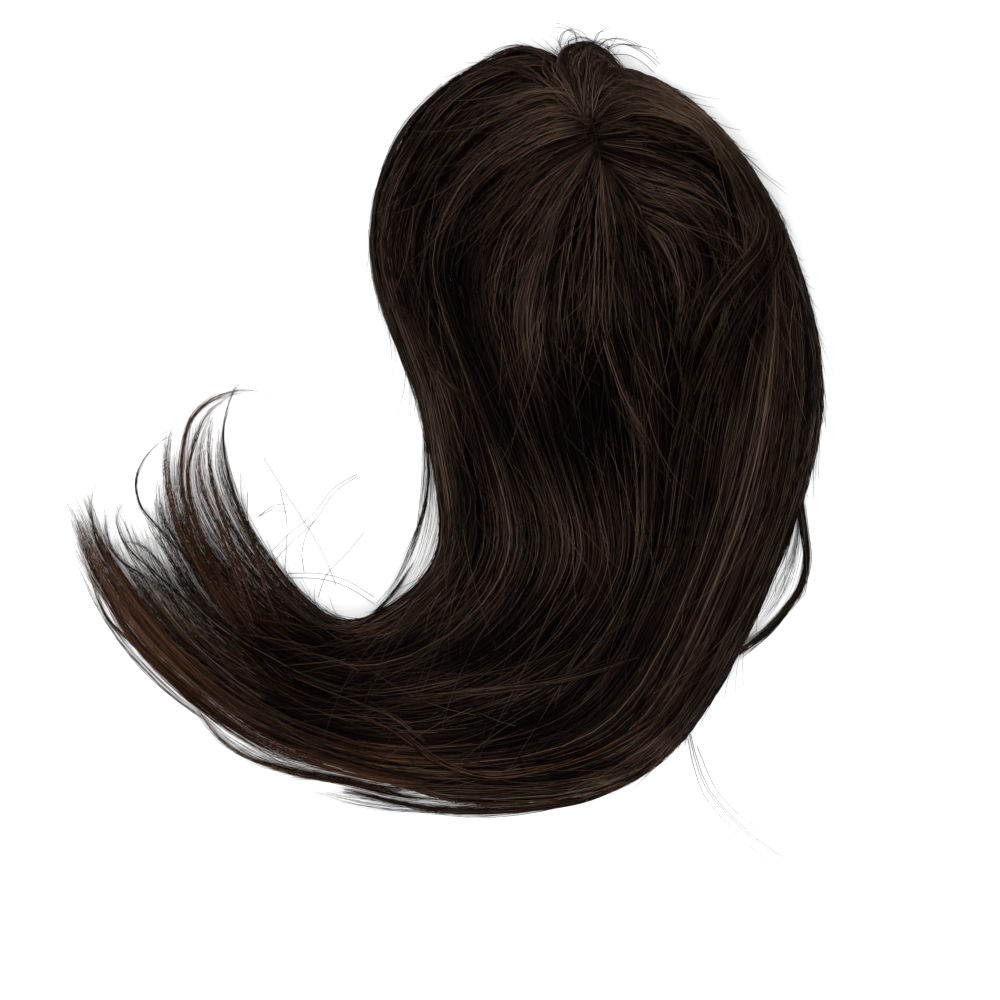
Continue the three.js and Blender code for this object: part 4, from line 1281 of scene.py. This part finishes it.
class HairSizes(bpy.types.PropertyGroup):
    """Sizes of the strands and of what lies under them."""

    strand_radius: length_property(
        "Strand radius", "Half the thickness of one modelled strand", 0.00019
    )
    stray_radius: length_property(
        "Stray radius", "Half the thickness of a single stray hair", 0.00015
    )
    layer: length_property("Layer", "Depth of the strands over the core", 0.0022)
    core_depth: length_property(
        "Core depth", "How far the core lies below the top of the hair", 0.0022
    )
    clump_relief: length_property(
        "Clump relief", "How much higher the middle of a clump lies than its sides", 0.0011
    )
    wander: length_property(
        "Wander", "How far strands stray sideways from their guides", 0.0008
    )


class HairColours(bpy.types.PropertyGroup):
    """Colours of the hair, the net and the clips."""

    # Shade is the colour of the painted shade of deep hair; gleam, the lightest streaks, that of
    # painted highlights and lighter hairs
    shade: colour_property("Shade", "Hair deep in the mass", (0.0011, 0.0006, 0.0006))
    body: colour_property("Body", "Most of the hair", (0.0094, 0.0053, 0.004))
    gleam: colour_property("Gleam", "The lightest streaks", (0.085, 0.053, 0.035))
    tips: colour_property("Tips", "The redder ends", (0.105, 0.045, 0.024))
    net: colour_property("Net", "The cloth of the base", (0.03, 0.02, 0.015))
    clip: colour_property("Clip", "The lacquer of the clips", (0.012, 0.009, 0.008))
    gloss: bpy.props.FloatProperty(
        name="Gloss", description="How strongly the hair shines", default=0.012, min=0, max=1,
        subtype="FACTOR",
    )


class StageSizes(bpy.types.PropertyGroup):
    """The floor, the lights and the camera."""

    floor: colour_property("Floor", "The floor under the hair", (0.7, 0.7, 0.7))
    sky: bpy.props.FloatProperty(
        name="Sky", description="Strength of the light from all round", default=1.9, min=0
    )
    lamp: bpy.props.FloatProperty(
        name="Lamp", description="Power of the soft lamp", default=14.0, min=0, unit="POWER"
    )
    lens: bpy.props.FloatProperty(
        name="Lens", description="Focal length of the camera in millimetres", default=400.0
    )


HAIR_SEED = 20


def seeded(name):
    """A source of random numbers that is a piece's own, and the same in each run."""
    return np.random.default_rng([HAIR_SEED, *name.encode()])


def hair_material(context):
    """The hair's material, made when it is first asked for."""
    found = bpy.data.materials.get(HAIR_FINISH)
    return found or hair_finish(context.scene.topper_colours)


def mass_relief():
    """The relief of the sections, on which all other hair lies."""
    return Relief([bpy.data.objects[section.name + "_hair"] for section in SECTIONS])


def laid(context, wisps, relief, rng):
    """One mesh of wisps, laid on the relief."""
    sizes = context.scene.topper_sizes
    return strand_mesh([wisp_strands(wisp, relief, sizes, rng) for wisp in wisps])


class TOPPER_OT_sections(bpy.types.Operator):
    """Comb the sections of hair over their cores"""

    bl_idname = "topper.sections"
    bl_label = "Sections of Hair"

    def execute(self, context):
        sizes = context.scene.topper_sizes
        for section in SECTIONS:
            name, lines = section.name, guide_lines(section.guides)
            strands = section_strands(section, lines, sizes, seeded(name))
            meshes = [core_mesh(section, lines, sizes), strand_mesh([strands])]
            piece_of(name + "_hair", meshes, hair_material(context), name)
        return {"FINISHED"}


class TOPPER_OT_loose_locks(bpy.types.Operator):
    """Lay the loose locks beside the mass"""

    bl_idname = "topper.loose_locks"
    bl_label = "Loose Locks"

    def execute(self, context):
        relief = mass_relief()
        for name, lock in LOOSE_LOCKS.items():
            mesh = laid(context, [lock], relief, seeded(name))
            piece_of(name + "_hair", [mesh], hair_material(context), name)
        return {"FINISHED"}


class TOPPER_OT_wisps(bpy.types.Operator):
    """Lay the wisps of the curled ends, of the veils and over the mass"""

    bl_idname = "topper.wisps"
    bl_label = "Wisps"

    def execute(self, context):
        relief = mass_relief()
        for name, wisps in WISPS.items():
            mesh = laid(context, wisps, relief, seeded(name))
            piece_of(name, [mesh], hair_material(context))
        return {"FINISHED"}


class TOPPER_OT_strays(bpy.types.Operator):
    """Add the single hairs that stray from the mass"""

    bl_idname = "topper.strays"
    bl_label = "Stray Hairs"

    def execute(self, context):
        sizes, rng, relief = context.scene.topper_sizes, seeded("strays"), mass_relief()
        sections = {section.name: section for section in SECTIONS}
        rows = [placed_strays(stray, sizes, rng) for stray in STRAYS]
        rows += [fuzz(fringe, sizes, rng) for fringe in FRINGES]
        rows += [
            askew_hairs(sections[name], count, relief, sizes, rng)
            for name, count in ASKEW.items()
        ]
        piece_of("stray_hair", [strand_mesh(rows)], hair_material(context))
        return {"FINISHED"}


class TOPPER_OT_base(bpy.types.Operator):
    """Give the base its net and the clips their lacquer"""

    bl_idname = "topper.base"
    bl_label = "Base and Clips"

    def execute(self, context):
        colours = context.scene.topper_colours
        finishes = {"base": net_finish(colours), "clip": lacquer_finish(colours)}
        for name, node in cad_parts.items():
            finish = finishes.get(name.split("_")[0])
            if finish:
                node.data.materials.clear()
                node.data.materials.append(finish)
        return {"FINISHED"}


# Soft lamps round the hair: name, place in metres, diameter in metres and share of the power
LAMPS = (
    ("lamp_front", (0.1, -1.2, 1.3), 0.9, 1.0),
    ("lamp_left", (-1.3, 0.5, 1.1), 0.8, 0.6),
)
FLOOR_REACH = 4  # from the middle to each side
# The middle of the photograph, as shares of the layout's span from the middle of the base
VIEW_MIDDLE = (-0.095, -0.265)


class TOPPER_OT_stage(bpy.types.Operator):
    """Set the pale floor, the soft lights and the camera above"""

    bl_idname = "topper.stage"
    bl_label = "Floor, Lights and Camera"

    def execute(self, context):
        scene, stage = context.scene, context.scene.topper_stage
        scene.view_settings.view_transform = "Standard"
        bm = bmesh.new()
        bmesh.ops.create_grid(bm, x_segments=1, y_segments=1, size=FLOOR_REACH)
        mesh = bpy.data.meshes.new("floor")
        bm.to_mesh(mesh)
        bm.free()
        mesh.materials.append(
            Finish("floor").surface(Base_Color=(*stage.floor, 1), Roughness=0.9)
        )
        floor = bpy.data.objects.new("floor", mesh)
        scene.collection.objects.link(floor)

        scene.world = bpy.data.worlds.new("studio")
        scene.world.use_nodes = True
        sky = scene.world.node_tree.nodes["Background"]
        sky.inputs["Color"].default_value = (1, 1, 1, 1)
        sky.inputs["Strength"].default_value = stage.sky
        for name, place, size, share in LAMPS:
            lamp = bpy.data.lights.new(name, "AREA")
            lamp.shape = "DISK"
            lamp.size = size
            lamp.energy = stage.lamp * share
            holder = bpy.data.objects.new(name, lamp)
            holder.location = place
            holder.rotation_euler = (-Vector(place)).to_track_quat("-Z", "Y").to_euler()
            scene.collection.objects.link(holder)

        camera = bpy.data.cameras.new("camera")
        camera.lens = stage.lens
        holder = bpy.data.objects.new("camera", camera)
        far = LAYOUT_SPAN * camera.lens / camera.sensor_width
        x, y = (BASE_MIDDLE[axis] + VIEW_MIDDLE[axis] * LAYOUT_SPAN for axis in (0, 1))
        holder.location = (x, y, far)
        scene.collection.objects.link(holder)
        scene.camera = holder
        return {"FINISHED"}


class TOPPER_PT_panel(bpy.types.Panel):
    """Lists what dresses the hair topper"""

    bl_idname = "TOPPER_PT_panel"
    bl_label = "Hair Topper"
    bl_space_type = "VIEW_3D"
    bl_region_type = "UI"
    bl_category = "Hair Topper"

    def draw(self, context):
        scene = context.scene
        for group in (scene.topper_sizes, scene.topper_colours, scene.topper_stage):
            for name in group.__annotations__:
                self.layout.prop(group, name)
        for operator in OPERATORS:
            self.layout.operator(operator.bl_idname)


OPERATORS = (
    TOPPER_OT_stage, TOPPER_OT_base, TOPPER_OT_sections, TOPPER_OT_loose_locks, TOPPER_OT_wisps,
    TOPPER_OT_strays,
)
GROUPS = {"topper_sizes": HairSizes, "topper_colours": HairColours, "topper_stage": StageSizes}


def register():
    for group in (*GROUPS.values(), *OPERATORS, TOPPER_PT_panel):
        bpy.utils.register_class(group)
    for name, group in GROUPS.items():
        setattr(bpy.types.Scene, name, bpy.props.PointerProperty(type=group))


def unregister():
    for name in GROUPS:
        delattr(bpy.types.Scene, name)
    for group in (TOPPER_PT_panel, *reversed(OPERATORS), *GROUPS.values()):
        bpy.utils.unregister_class(group)


def main():
    register()
    bpy.ops.topper.stage()
    bpy.ops.topper.base()
    bpy.ops.topper.sections()
    bpy.ops.topper.loose_locks()
    bpy.ops.topper.wisps()
    bpy.ops.topper.strays()


if __name__ == "__main__":
    main()
